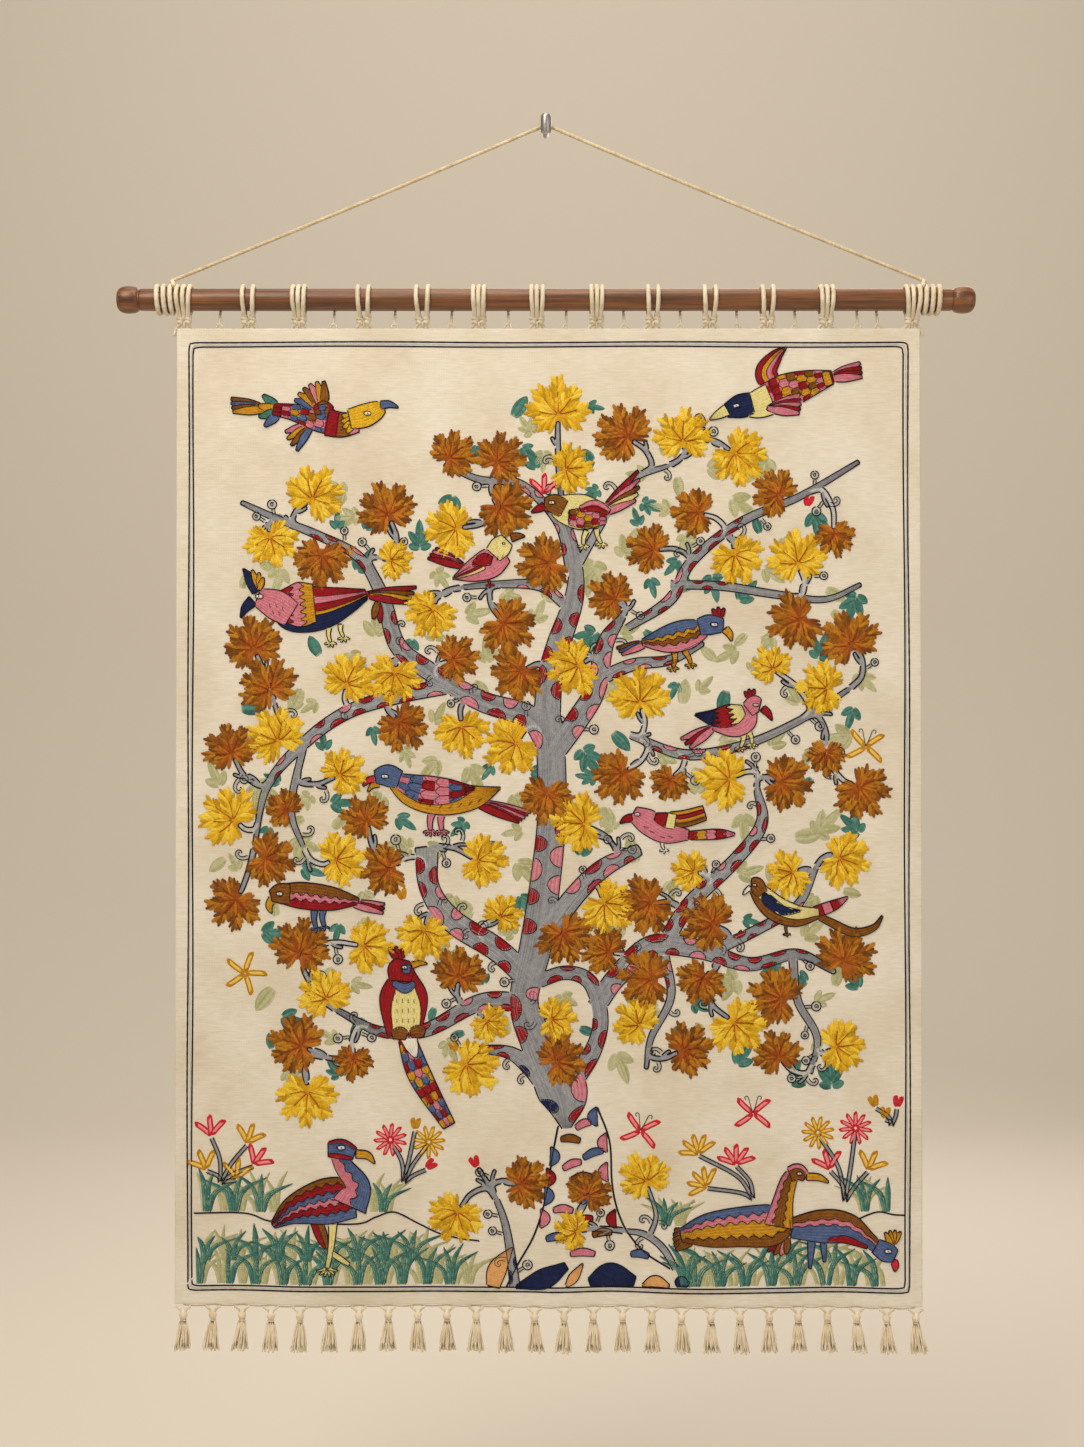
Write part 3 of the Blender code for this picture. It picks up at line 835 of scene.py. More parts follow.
def make_tassels():
    """The row of tassels along the hem."""
    draw = random.Random(23)
    for number in range(1, TASSEL_COUNT + 1):
        low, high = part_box(f"tassel_{number:02d}")
        hem = high[2] + 0.0006
        x = FIRST_TASSEL + TASSEL_PITCH * (number - 1)
        y = float(cloth_depth(np.array(x), np.array(hem)))
        lean = 0.0060 * x + draw.uniform(-0.0016, 0.0016)
        parts = bound_head(x, y, hem) + yarn_skirt(x, y, hem, lean, draw)
        for side in (-1, 1):
            leg = [
                (x + side * 0.0086, y, hem - 0.0021),
                (x + side * 0.0058, y - 0.0004, hem - 0.0036),
                (x + side * 0.0016, y, hem - HEAD_DROP + 0.0042),
            ]
            parts.append(swept(smooth_route(leg, 0.0014), 0.0019, sides=8, lobes=2, lobe_depth=0.25))
        name = f"tassel_{number:02d}"
        mesh_piece("yarn_" + name, *joined(parts), YARN_COTTON, "tassel_yarn", name)


make_tassels()


# %% Edging cord
EDGING_RADIUS = 0.0012


def make_edging():
    """The fine cord that runs behind the tassels' loops, close under the hem."""
    line = []
    for number in range(TASSEL_COUNT):
        for step, drop in ((0, 0.0017), (1, 0.0026), (2, 0.0030), (3, 0.0026)):
            x = FIRST_TASSEL + TASSEL_PITCH * (number + step / 4)
            hem = float(cloth_bottom(x))
            y = float(cloth_depth(np.array(x), np.array(hem)))
            line.append((x, y + 0.0040, hem - drop))
    route = smooth_route(line[:-3], 0.0022)
    mesh_piece(
        "hem_edging", *swept(route, EDGING_RADIUS, sides=8, lobes=2, lobe_depth=0.35),
        CORD_COTTON, "cotton_cord", "edging_cord",
    )


make_edging()

# %% [markdown]
# ## Rod, knobs and peg
# The rod is a stained hardwood dowel with a satin lacquer, and each end carries a turned knob with a
# dark groove where it meets the rod. A knob is spun from half its section, as a lathe would cut it. The
# peg is a satin metal pin with an upright post that keeps the cord on.

# %% Stained wood material
def stained_wood():
    """Beech stained walnut brown, turned and lacquered: grain runs along the rod, with fine dark pores
    and a soft highlight. Grain lines are about 1.5 mm apart."""
    material, tree, shader, place = new_material("walnut_stained_beech")
    along = add_node(tree, "Mapping", {"Vector": place, "Scale": (5.0, 160.0, 160.0)})
    grain = add_node(tree, "TexNoise", {"Vector": along, "Scale": 1.0, "Detail": 6.0, "Roughness": 0.65})
    stain = add_node(
        tree, "ValToRGB", {0: grain}, [(0.28, "3F220D"), (0.8, "AE7A42"), (0.47, "6C3F1A"), (0.62, "8D5726")]
    )
    fine = add_node(tree, "Mapping", {"Vector": place, "Scale": (28.0, 900.0, 900.0)})
    pore = add_node(tree, "TexNoise", {"Vector": fine, "Scale": 1.0, "Detail": 1.0})
    pores = add_node(tree, "ValToRGB", {0: pore}, [(0.34, "84725E"), (0.44, "FFFFFF")])
    mixed = add_node(tree, "Mix", {0: 0.5, 6: stain, 7: pores}, data_type="RGBA", blend_type="MULTIPLY")
    bump = add_node(tree, "Bump", {"Height": grain, "Distance": 0.0002, "Strength": 0.35})
    connect(tree, shader, {
        "Base Color": mixed.outputs[2], "Normal": bump, "Roughness": 0.42, "Coat Weight": 0.35,
        "Coat Roughness": 0.28,
    })
    return material


WOOD = stained_wood()


# %% Rod
def make_rod():
    """The dowel, with softened ends that sit against the knobs."""
    deselect()
    bpy.ops.mesh.primitive_cylinder_add(
        vertices=56, radius=ROD_RADIUS, depth=rod_high[0] - rod_low[0], end_fill_type="NGON",
        location=ROD_CENTRE, rotation=(0, math.radians(90), 0),
    )
    rod = bpy.context.object
    rod.name = "turned_rod"
    place_in_mesh(rod)
    select_edges(rod, lambda edge: abs(edge.verts[0].co.x - edge.verts[1].co.x) > 0.1)
    bpy.ops.mesh.subdivide(number_cuts=40)
    bpy.ops.object.mode_set(mode="OBJECT")
    for vert in rod.data.vertices:
        out = Vector((0, vert.co.y - ROD_CENTRE.y, vert.co.z - ROD_CENTRE.z))
        angle = math.atan2(out.z, out.y)
        shave = 0.00012 * math.sin(vert.co.x * 61 + 2 * angle) + 0.00008 * math.sin(vert.co.x * 143)
        vert.co -= out.normalized() * (abs(shave) if out.length > 0.001 else 0.0)
    soften(rod, "soft_ends", 0.0008, 50)
    finish_piece(rod, WOOD, "rod")
    bpy.ops.object.shade_smooth_by_angle(angle=math.radians(40))


make_rod()

# %% Knobs
KNOB_PROFILE = (
    # distance out from the rod's end, radius, in millimetres
    (0.3, 0.0), (0.3, 12.4), (0.9, 12.9), (1.6, 12.7), (2.2, 12.8), (2.8, 13.9), (4.6, 14.9),
    (8.0, 16.0), (14.5, 16.6), (20.0, 16.1), (23.6, 15.0), (26.2, 13.2), (28.0, 10.6), (28.8, 7.4),
    (29.0, 0.0),
)


def make_knob(side):
    """One knob, spun round the rod's axis from its half section."""
    sign = -1 if side == "left" else 1
    end_x = rod_low[0] if side == "left" else rod_high[0]
    mesh = bpy.data.meshes.new(f"turned_knob_{side}")
    knob = bpy.data.objects.new(mesh.name, mesh)
    bpy.context.scene.collection.objects.link(knob)
    section = [
        (end_x + sign * out * MM, ROD_CENTRE.y, ROD_CENTRE.z + radius * MM) for out, radius in KNOB_PROFILE
    ]
    mesh.from_pydata(section, [(i, i + 1) for i in range(len(section) - 1)], [])
    make_active(knob)
    bpy.ops.object.mode_set(mode="EDIT")
    bpy.ops.mesh.select_all(action="SELECT")
    bpy.ops.mesh.spin(steps=56, angle=2 * math.pi, center=ROD_CENTRE, axis=(1, 0, 0))
    bpy.ops.mesh.select_all(action="SELECT")
    bpy.ops.mesh.remove_doubles(threshold=0.00002)
    bpy.ops.mesh.normals_make_consistent(inside=False)
    bpy.ops.object.mode_set(mode="OBJECT")
    finish_piece(knob, WOOD, f"rod_cap_{side}")
    bpy.ops.object.shade_smooth_by_angle(angle=math.radians(38))


make_knob("left")
make_knob("right")


# %% Peg
PEG_SHAFT_RADIUS = 0.0035


def brushed_steel():
    """Satin stainless steel, brushed: grey, with fine lines that blur its reflections."""
    material, tree, shader, place = new_material("brushed_stainless_steel")
    lines = add_node(tree, "Mapping", {"Vector": place, "Scale": (300.0, 300.0, 2600.0)})
    brush = add_node(tree, "TexNoise", {"Vector": lines, "Scale": 1.0, "Detail": 3.0})
    ramp = add_node(tree, "ValToRGB", {0: brush}, [(0.3, "8E8B86"), (0.7, "C4C0B9")])
    bump = add_node(tree, "Bump", {"Height": brush, "Distance": 0.0001, "Strength": 0.3})
    connect(tree, shader, {"Base Color": ramp, "Normal": bump, "Metallic": 1.0, "Roughness": 0.38})
    return material


def make_peg():
    """The peg: a post cut from a cylinder and domed by a bevel, on a level shaft."""
    low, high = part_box("wall_peg")
    radius = (high[0] - low[0]) / 2
    post_y = low[1] + radius
    deselect()
    bpy.ops.mesh.primitive_cylinder_add(
        vertices=40, radius=radius, depth=high[2] - low[2], location=(0, post_y, (low[2] + high[2]) / 2)
    )
    post = bpy.context.object
    select_edges(post, lambda edge: all(vert.co.z > 0 for vert in edge.verts))
    bpy.ops.mesh.bevel(offset=radius * 0.92, segments=10, profile=0.5)
    bpy.ops.object.mode_set(mode="OBJECT")
    bpy.ops.mesh.primitive_cylinder_add(
        vertices=32, radius=PEG_SHAFT_RADIUS, depth=-post_y, location=(0, post_y / 2, 0),
        rotation=(math.radians(90), 0, 0),
    )
    post.select_set(True)
    bpy.context.view_layer.objects.active = post
    bpy.ops.object.join()
    post.name = "steel_peg"
    place_in_mesh(post)
    soften(post, "soft_rims", 0.0005, 60)
    finish_piece(post, brushed_steel(), "wall_peg")
    bpy.ops.object.shade_smooth_by_angle(angle=math.radians(40))


make_peg()

# %% [markdown]
# ## Crewel stitches
# Crewel work is wool chain stitch, worked from the face in rows that lie side by side. Each row here is
# a thin strip of mesh with a raised middle and edges that sink just below the cloth, so rows meet in a
# groove and catch the light like yarn. All the stitches of one wool are kept as arrays and made one
# joined piece at the end. Designs are drawn in millimetres on the flat panel, and `on_cloth` lays them
# on its folds.

# %% Stitch store
ROW_PITCH = 2.3
EDGE_LIFT = -0.28
FILL_LIFT = 0.55
LINE_LIFT = 1.45
LINE_HALF = 1.25
LINK = 2.6


class Wool:
    """The stitches of one dyed wool, kept as arrays until they are made one piece."""

    def __init__(self):
        self.groups = []

    def lay(self, lines, half, lift=FILL_LIFT, tone=0.5, heart=0.0, sunk_ends=True, base=0.0):
        """Adds stitches: lines of shape (stitches, stations, 2), and their half width and lift in
        millimetres. tone picks the shade along the wool's range, heart mixes in its second colour.
        base raises all of it, for what is worked on top of other stitches."""
        lines = reals(lines)
        lines = lines.reshape((-1, *lines.shape[-2:]))
        shape = lines.shape[:2]
        along = np.gradient(lines, axis=1)
        along /= np.linalg.norm(along, axis=2, keepdims=True) + 1e-9
        half = np.broadcast_to(reals(half), shape)
        across = np.stack([-along[..., 1], along[..., 0]], axis=-1) * half[..., None]
        flat = np.stack([lines + across, lines, lines - across], axis=2)
        height = np.full((*shape, 3), EDGE_LIFT)
        height[..., 1] = np.broadcast_to(lift, shape)
        if sunk_ends:
            height[:, (0, -1), 1] = EDGE_LIFT
        height += base
        steps = np.linalg.norm(np.diff(lines, axis=1), axis=2)
        run = np.concatenate([np.zeros((shape[0], 1)), np.cumsum(steps, axis=1)], axis=1)
        marks = np.empty((*shape, 3, 4))
        marks[..., 0] = np.broadcast_to(tone, shape)[..., None]
        marks[..., 1] = np.broadcast_to(heart, shape)[..., None]
        marks[..., 2] = run[..., None]
        marks[..., 3] = (-1.0, 0.0, 1.0)
        self.groups.append((flat, height, marks))

    def made(self, name, material):
        """One joined piece of all these stitches, with its map along and across the rows."""
        points, marks, quads, count = [], [], [], 0
        for flat, height, mark in self.groups:
            stitches, stations = flat.shape[:2]
            index = count + np.arange(stitches * stations * 3).reshape(stitches, stations, 3)
            for side in (0, 1):
                corners = (
                    index[:, :-1, side], index[:, :-1, side + 1], index[:, 1:, side + 1], index[:, 1:, side],
                )
                quads.append(np.stack(corners, axis=-1).reshape(-1, 4))
            points.append(on_cloth(flat, height).reshape(-1, 3))
            marks.append(mark.reshape(-1, 4))
            count += stitches * stations * 3
        piece = mesh_piece(name, np.vstack(points), np.vstack(quads), material, "panel_cloth")
        marks = np.vstack(marks)
        mesh = piece.data
        corner = np.empty(len(mesh.loops), dtype=np.int64)
        mesh.loops.foreach_get("vertex_index", corner)
        rows = mesh.uv_layers.new(name="rows")
        rows.uv.foreach_set("vector", (marks[corner][:, (2, 3)] / (LINK, 1.0)).ravel())
        shade = mesh.attributes.new("shade", "FLOAT_COLOR", "POINT")
        values = np.ones((count, 4))
        values[:, :2] = marks[:, :2]
        shade.data.foreach_set("color", values.ravel())
        return piece


# %% Wools
SHADES = {
    # wool: dark, middle and light shades, and the second colour at the heart of a motif
    "gold": ("B88A10", "E6B41A", "F8D84C", "E39A14"),
    "russet": ("6E3D06", "A2620E", "C98A1E", "C8541A"),
    "rust": ("8E3208", "A8400C", "C0540F", "A8400C"),
    "grey": ("7C7C80", "9A9A9D", "B2B2B4", "6E6E74"),
    "pale_grey": ("A8A6A0", "C6C3BC", "DAD7D0", "A8A6A0"),
    "black": ("0C0B10", "17151B", "25232B", "0C0B10"),
    "crimson": ("6E070D", "9C0F17", "B81E26", "6E070D"),
    "coral": ("B4141F", "D42C38", "E4565C", "F29A9C"),
    "rose": ("B85C6C", "D77F8D", "E8A2AA", "B85C6C"),
    "navy": ("0A1130", "14204A", "243466", "0A1130"),
    "slate": ("3C4C72", "536690", "7485AA", "3C4C72"),
    "teal": ("29524A", "447A6E", "66998C", "29524A"),
    "sage": ("9C9A66", "B8B587", "CFCCA4", "9C9A66"),
    "mustard": ("A06A08", "D0941A", "E8B838", "F0CC60"),
    "straw": ("D4C270", "EBDD92", "F6ECB4", "D4C270"),
    "bark": ("5C3208", "875012", "A66C24", "5C3208"),
    "peach": ("C98A48", "E4AA68", "F2C48C", "C98A48"),
    "cream": ("D8CFB8", "F1EBDC", "FBF8F0", "D8CFB8"),
}
WOOL = {name: Wool() for name in SHADES}


def crewel_wool(name, shades):
    """Two-ply crewel wool in chain stitch: quite matt with a soft fuzz at its edges. The links are
    2.6 mm long, and each row shows them as small chevrons. Dye lots vary a little along the yarn."""
    dark, middle, light, heart = shades
    material, tree, shader, place = new_material(f"crewel_wool_{name}")
    split = add_node(tree, "SeparateColor", {0: add_node(tree, "Attribute", attribute_name="shade")})
    dye = add_node(tree, "TexNoise", {"Vector": place, "Scale": 210.0, "Detail": 3.0})
    varied = add_node(tree, "Math", {0: dye, 1: 0.9, 2: split}, operation="MULTIPLY_ADD")
    tone = add_node(tree, "Math", {0: varied, 1: 0.45}, operation="SUBTRACT")
    ramp = add_node(tree, "ValToRGB", {0: tone}, [(0.05, dark), (0.95, light), (0.5, middle)])
    mixed = add_node(tree, "Mix", {0: split.outputs[1], 6: ramp, 7: colour(heart)}, data_type="RGBA")
    axes = add_node(tree, "SeparateXYZ", {0: add_node(tree, "UVMap", uv_map="rows")})
    away = add_node(tree, "Math", {0: axes.outputs[1]}, operation="ABSOLUTE")
    chevron = add_node(tree, "Math", {0: away, 1: 0.45, 2: axes}, operation="MULTIPLY_ADD")
    link = add_node(tree, "Math", {0: chevron, 1: 0.5}, operation="PINGPONG")
    bump = add_node(tree, "Bump", {"Height": link, "Distance": 0.0009, "Strength": 0.5})
    fuzz = add_node(tree, "TexNoise", {"Vector": place, "Scale": 1500.0, "Detail": 1.0})
    soft = add_node(tree, "Bump", {"Height": fuzz, "Distance": 0.0004, "Strength": 0.35, "Normal": bump})
    connect(tree, shader, {
        "Base Color": mixed.outputs[2], "Normal": soft, "Roughness": 0.85, "Sheen Weight": 0.2,
        "Specular IOR Level": 0.2,
    })
    return material


# %% Curves on the flat panel
def curve(points, spacing=3.0):
    """Evenly spaced points of a smooth curve through these points, in millimetres."""
    return smooth_route(reals(points), spacing)


def lofted(spine, halves, spacing=3.0):
    """A smooth spine and its half width at each of its points."""
    spine = reals(spine)
    halves = np.interp(np.linspace(0, 1, len(spine)), np.linspace(0, 1, len(halves)), halves)
    line = smooth_route(np.column_stack([spine, halves]), spacing)
    return line[:, :2], np.maximum(line[:, 2], 0.05)


def beside(line, offset):
    """The line moved sideways, to its left, by this much at each of its points."""
    along = np.gradient(line, axis=0)
    along /= np.linalg.norm(along, axis=1)[:, None] + 1e-9
    return line + np.stack([-along[:, 1], along[:, 0]], axis=-1) * np.broadcast_to(offset, len(line))[:, None]


def outline_stitch(line, half=LINE_HALF, lift=LINE_LIFT, wool="black", keep=None):
    """A row of outline stitches. Stations where keep is false are left unworked."""
    keep = np.ones(len(line), dtype=bool) if keep is None else keep
    edges = np.flatnonzero(np.diff(np.concatenate([[False], keep, [False]]).astype(int)))
    for start, stop in zip(edges[::2], edges[1::2]):
        if stop - start > 1:
            WOOL[wool].lay(line[start:stop], half, lift)


def edge_stitches(line, offset, half):
    """A black row along each side of a line."""
    for side in (1, -1):
        outline_stitch(beside(line, side * offset), half)


def fill_rows(spine, halves, wool, lift=FILL_LIFT, pitch=ROW_PITCH, draw=None, base=0.0):
    """Fills a loft with rows of one wool along its spine."""
    rows = max(1, math.ceil(2 * halves.max() / pitch))
    for row in range(rows):
        line = beside(spine, ((2 * row + 1) / rows - 1) * halves)
        tone = 0.5 if draw is None else draw.uniform(0.25, 0.75)
        WOOL[wool].lay(line, halves / rows * 1.12, lift, tone, base=base)


def rim(line, width):
    """The outline of a loft: up its left edge and back down its right one."""
    return np.vstack([beside(line, width), beside(line, -width)[::-1]])


def outlined(spine, halves, wool, spacing=1.8):
    """A filled loft with a black outline."""
    line, width = lofted(spine, halves, spacing)
    fill_rows(line, width, wool, base=0.45)
    ring = rim(line, width)
    outline_stitch(even_points(np.vstack([ring, ring[:1]]), 2.0), 1.1, 1.6)
    return line, width


# %% [markdown]
# ## The tree
# The tree's limbs are chain stitched in grey along their length, edged in black, and set with crimson
# and rose half-rounds. Each limb is a listed spine with a width at each point. Where limbs meet,
# the black edge of one is left out inside the other, so they read as one tree.

# %% Limbs
LIMBS = (
    # name, spine in millimetres from the centre line and up from the hem, half widths
    ("trunk", ((22, 218), (18, 262), (-10, 318), (-30, 372), (-16, 440), (-4, 520), (4, 600), (3, 680),
               (-2, 735)), (5, 30, 22, 17, 19, 18, 17, 17, 15)),
    ("ring", ((-14, 398), (22, 409), (52, 396), (64, 352), (54, 312), (28, 276)), (8, 8, 9, 9, 10, 14)),
    ("upper", ((-2, 720), (2, 770), (14, 815), (32, 870), (32, 920), (18, 975), (14, 1012)),
     (16, 15, 14, 11, 7, 4, 2.6)),
    ("left_arm", ((0, 690), (-24, 722), (-84, 742), (-150, 780), (-186, 810), (-202, 864), (-222, 912)),
     (15, 14, 12, 11, 10, 8, 3.5)),
    ("left_bough", ((-120, 760), (-182, 748), (-246, 728), (-300, 690), (-346, 636), (-362, 560)),
     (9, 9, 8, 7, 4.5, 2.5)),
    ("left_low", ((-22, 398), (-62, 436), (-118, 472), (-146, 512), (-150, 562)), (13, 14, 14, 12, 14)),
    ("left_foot", ((-30, 372), (-84, 372), (-150, 338), (-206, 336), (-262, 364)), (12, 10, 8, 6, 3)),
    ("right_mid", ((-8, 446), (28, 498), (66, 536), (112, 560)), (13, 12, 11, 7)),
    ("right_long", ((58, 366), (84, 404), (128, 442), (186, 438), (246, 420), (306, 432), (352, 410)),
     (11, 12, 13, 11, 8, 6, 3)),
    ("right_rise", ((140, 440), (172, 492), (230, 548), (262, 592), (256, 636)), (9, 9, 8, 7, 3.5)),
    ("right_reach", ((200, 436), (256, 462), (306, 492), (330, 540)), (7, 6, 5, 3)),
    ("right_arm", ((0, 668), (34, 716), (58, 756), (70, 812), (92, 846)), (12, 13, 12, 10, 4)),
    ("right_fork", ((66, 770), (104, 786), (150, 792), (190, 812)), (8, 7, 5.5, 3)),
    ("right_top", ((96, 830), (150, 866), (176, 912), (236, 960), (310, 992), (382, 1034)),
     (4, 6.5, 6, 5, 4, 2.6)),
    ("right_side", ((150, 884), (214, 882), (280, 872), (340, 866), (384, 884)), (5, 5, 4.5, 3.5, 2.4)),
    ("right_low", ((100, 700), (170, 676), (246, 690), (316, 722), (372, 758)), (4, 6, 5, 4, 2.6)),
    ("left_top", ((-204, 868), (-232, 916), (-284, 944), (-334, 964), (-378, 984)), (6.5, 6, 5, 4, 2.6)),
    ("left_inner", ((22, 858), (-10, 882), (-62, 884), (-108, 880)), (6, 6, 4, 2.6)),
    ("crown_left", ((28, 900), (12, 960), (-34, 1006), (-84, 1012), (-128, 1030)), (6, 5.5, 5, 4, 2.4)),
    ("crown_right", ((32, 900), (66, 960), (100, 1010), (150, 1030)), (5, 4.5, 4, 2.4)),
    ("hanging_left", ((-300, 690), (-316, 610), (-300, 560)), (4, 4, 2.4)),
    ("hanging_right", ((300, 432), (306, 376), (330, 330), (322, 286)), (5, 4.5, 4, 2.4)),
    ("hanging_mid", ((142, 430), (150, 380), (126, 330), (120, 292)), (6, 4.5, 3.5, 2.4)),
    ("left_root", ((4, 262), (-22, 292), (-52, 312), (-108, 314)), (13, 10, 7, 2.6)),
    ("left_shoot", ((-41, 24), (-46, 62), (-54, 104), (-69, 141), (-86, 168)), (6, 5, 4, 3, 2.2)),
    ("right_shoot", ((156, 46), (140, 72), (118, 88), (92, 92)), (3.5, 4, 3.6, 2.4)),
    ("right_twig", ((124, 86), (132, 112), (122, 146)), (3, 2.4, 1.8)),
)
GREYED = {}


def limb(name, spine, halves, draw):
    """One limb, filled with grey rows. Its spots and its black edges are worked later."""
    line, width = lofted(spine, halves)
    GREYED[name] = (line, width)
    fill_rows(line, width, "grey", draw=draw, base=0.3)


def far_from_others(points, name):
    """How far each point lies outside the nearest limb or twig that isn't this one."""
    others = [body for other, body in GREYED.items() if other != name]
    places = np.vstack([line for line, _ in others])
    widths = np.concatenate([width for _, width in others])
    return (np.linalg.norm(points[:, None] - places[None], axis=2) - widths[None]).min(axis=1)


def clear_of_birds(points):
    """Which points don't lie under a bird."""
    birds = np.array(KEPT_CLEAR)
    away = np.linalg.norm(points[:, None] - birds[None, :, :2], axis=2)
    return (away - birds[None, :, 2]).min(axis=1) > -4.5


def spot(line, width, at, side, reach, depth, wool):
    """A half-round patch on a limb's edge, filled in rows along the limb and ringed in black."""
    run = run_along(line)

    def edge_point(along, inwards):
        offset = side * (np.interp(along, run, width) - inwards)
        place = line_at(along, run, line)
        return beside(place, offset)

    rows = max(2, round(depth / ROW_PITCH))
    for row in range(rows):
        inwards = depth * (row + 0.5) / rows
        half_chord = reach * math.sqrt(1 - (inwards / depth) ** 2 * 0.96)
        along = np.linspace(at - half_chord, at + half_chord, max(3, round(half_chord / 1.3)))
        tone = 0.35 + 0.3 * (row % 2)
        WOOL[wool].lay(edge_point(along, inwards), depth / rows * 0.66, 0.85, tone, base=0.55)
    angle = np.linspace(math.pi, 0, 17)
    ring = edge_point(at + reach * np.cos(angle), depth * np.sin(angle))
    outline_stitch(ring, half=1.1, lift=1.5)


LEAVES_BELOW = (
    # leaf places outside the crown and over the trunk: x, up, size, wool
    (-112, 114, 38, "gold"), (-34, 150, 36, "russet"), (48, 136, 32, "russet"), (34, 92, 28, "gold"),
    (120, 154, 36, "gold"), (4, 352, 30, "gold"), (10, 300, 38, "russet"), (18, 458, 40, "russet"),
    (-2, 628, 38, "russet"), (12, 1092, 44, "gold"),
)


def spot_limbs(draw):
    """Crimson and rose patches by turns along both edges of the thicker limbs, and navy near the root."""
    for name, (line, width) in GREYED.items():
        length = np.linalg.norm(np.diff(line, axis=0), axis=1).sum()
        at, side = draw.uniform(12, 22), draw.choice((-1, 1))
        while at < length - 10:
            here = int(at / length * (len(line) - 1))
            depth = width[here] * draw.uniform(0.62, 0.92)
            edge = line[here] + (beside(line, side * width)[here] - line[here]) * 0.9
            if width[here] > 5 and far_from_others(edge[None], name)[0] > 3 and clear_of_birds(edge[None])[0]:
                wool = draw.choice(("crimson", "crimson", "rose"))
                if edge[1] < 292 and edge[0] < 10:
                    wool, depth = "navy", depth * 0.8
                reach = draw.uniform(8.5, 13.5) * (0.6 + width[here] / 36)
                if not any(math.dist(edge, leaf[:2]) < leaf[2] for leaf in LEAVES_BELOW):
                    spot(line, width, at, side, reach, depth, wool)
            at += draw.uniform(12, 20)
            side = -side


def edge_limbs():
    """The black edges of every limb and twig, left out where they run inside another one."""
    for name, (line, width) in GREYED.items():
        left, right = beside(line, width), beside(line, -width)
        tip = [line[-1] + (line[-1] - line[-2]) * 0.4]
        ring = even_points(np.vstack([left, tip, right[::-1]]), 2.2)
        outline_stitch(ring, half=1.25, keep=(far_from_others(ring, name) > -0.4) & clear_of_birds(ring))


# %% [markdown]
# ## Vine leaves
# A leaf is a fan of loose straight stitches that branch off five to seven ribs, gold with red ribs or
# russet with an orange heart. Their round ends make the ragged edge, and no black row goes round them.

# %% Leaves
LOBES = (
    # turn from the leaf's tip in degrees, length as a share of the tip's
    (0, 1.00), (41, 0.93), (-41, 0.93), (80, 0.86), (-80, 0.86), (114, 0.62), (-114, 0.62),
)
PAIRS = 5
LEAF_BASE = 0.9
STROKE_WIDTHS = np.array([0.6, 0.95, 1.1, 1.12, 1.0, 0.5])


def turned(angles):
    """Unit directions for angles in radians from straight up, clockwise."""
    return np.stack([np.sin(angles), np.cos(angles)], axis=-1)


def vine_leaf(wool, heart_x, heart_up, turn, size, draw):
    """A vine leaf. Strokes branch off each lobe's rib like the barbs of a feather, so their points make
    the toothed edge. size is the length from the ribs' meeting point to the tip."""
    heart = np.array([heart_x, heart_up])
    starts, angles, bends, lengths = [], [], [], []
    for lobe_turn, lobe_length in LOBES:
        rib = math.radians(turn + lobe_turn + draw.uniform(-4, 4))
        reach = size * lobe_length * draw.uniform(0.94, 1.05)
        for pair in range(PAIRS):
            share = 0.08 + 0.66 * pair / (PAIRS - 1)
            for side in (-1, 1):
                starts.append(heart + turned(rib) * reach * share)
                spread = 46 - 26 * share + draw.uniform(-5, 5)
                angles.append(rib + side * math.radians(spread))
                bends.append(-side * math.radians(draw.uniform(4, 14)))
                lengths.append(size * (0.56 - 0.30 * share) * draw.uniform(0.84, 1.12))
        starts.append(heart + turned(rib) * reach * 0.62)
        angles.append(rib)
        bends.append(math.radians(draw.uniform(-6, 6)))
        lengths.append(reach * 0.40)
    starts, angles = np.array(starts), np.array(angles)
    bends, lengths = np.array(bends), np.array(lengths)
    share = np.linspace(0, 1, len(STROKE_WIDTHS))
    heading = angles[:, None] + bends[:, None] * (share[None] - 0.3)
    steps = turned(heading) * (lengths[:, None] / (len(share) - 1))[..., None]
    lines = starts[:, None] + np.cumsum(steps, axis=1) - steps[:, :1]
    seeds = np.array([draw.random() for _ in starts])
    half = (0.042 * size + 0.45) * STROKE_WIDTHS[None] * (0.85 + 0.3 * seeds[:, None])
    away = np.linalg.norm(lines - heart, axis=2) / size
    glow = np.clip(0.62 - away * (1.25 if wool == "russet" else 1.9), 0, 1)
    edge_shade = 0.18 if wool == "russet" else 0.05
    tone = np.clip(0.08 + 0.84 * seeds[:, None] - edge_shade * share[None], 0, 1)
    WOOL[wool].lay(lines, half, 0.8 + 0.55 * seeds[:, None], tone, glow, base=LEAF_BASE)
    under = np.arange(0, 360, 24)
    folded = np.abs((under + 180) % 360 - 180)
    reach = size * np.interp(folded, (0, 40, 84, 126, 180), (0.80, 0.70, 0.66, 0.42, 0.16))
    fan = heart + turned(np.radians(turn + under))[:, None] * (
        reach[:, None] * np.array([0.0, 0.35, 0.7, 1.0])[None]
    )[..., None]
    WOOL[wool].lay(fan, reach[:, None] * np.array([0.03, 0.10, 0.17, 0.13]), 0.5, 0.3, 0.15,
                   base=LEAF_BASE)
    for lobe_turn, lobe_length in LOBES[:5]:
        rib = math.radians(turn + lobe_turn)
        bend = math.radians(lobe_turn * 0.14 + draw.uniform(-7, 7))
        share = np.linspace(0, 1, 7)
        steps = turned(rib + bend * (1 - 2 * share)) * size * lobe_length * 0.118
        rib_line = heart + np.cumsum(steps, axis=0) - steps[:1]
        slim = 1.1 if wool == "gold" else 0.5
        WOOL["rust"].lay(rib_line, slim * np.array([1, 1, 0.95, 0.9, 0.8, 0.65, 0.3]), 2.8, 0.5)


# %% [markdown]
# ## The crown
# Most leaves are thrown into the crown's outline from a seeded draw, kept apart from each other and off
# the birds. Twigs then grow from the limbs to the leaves.

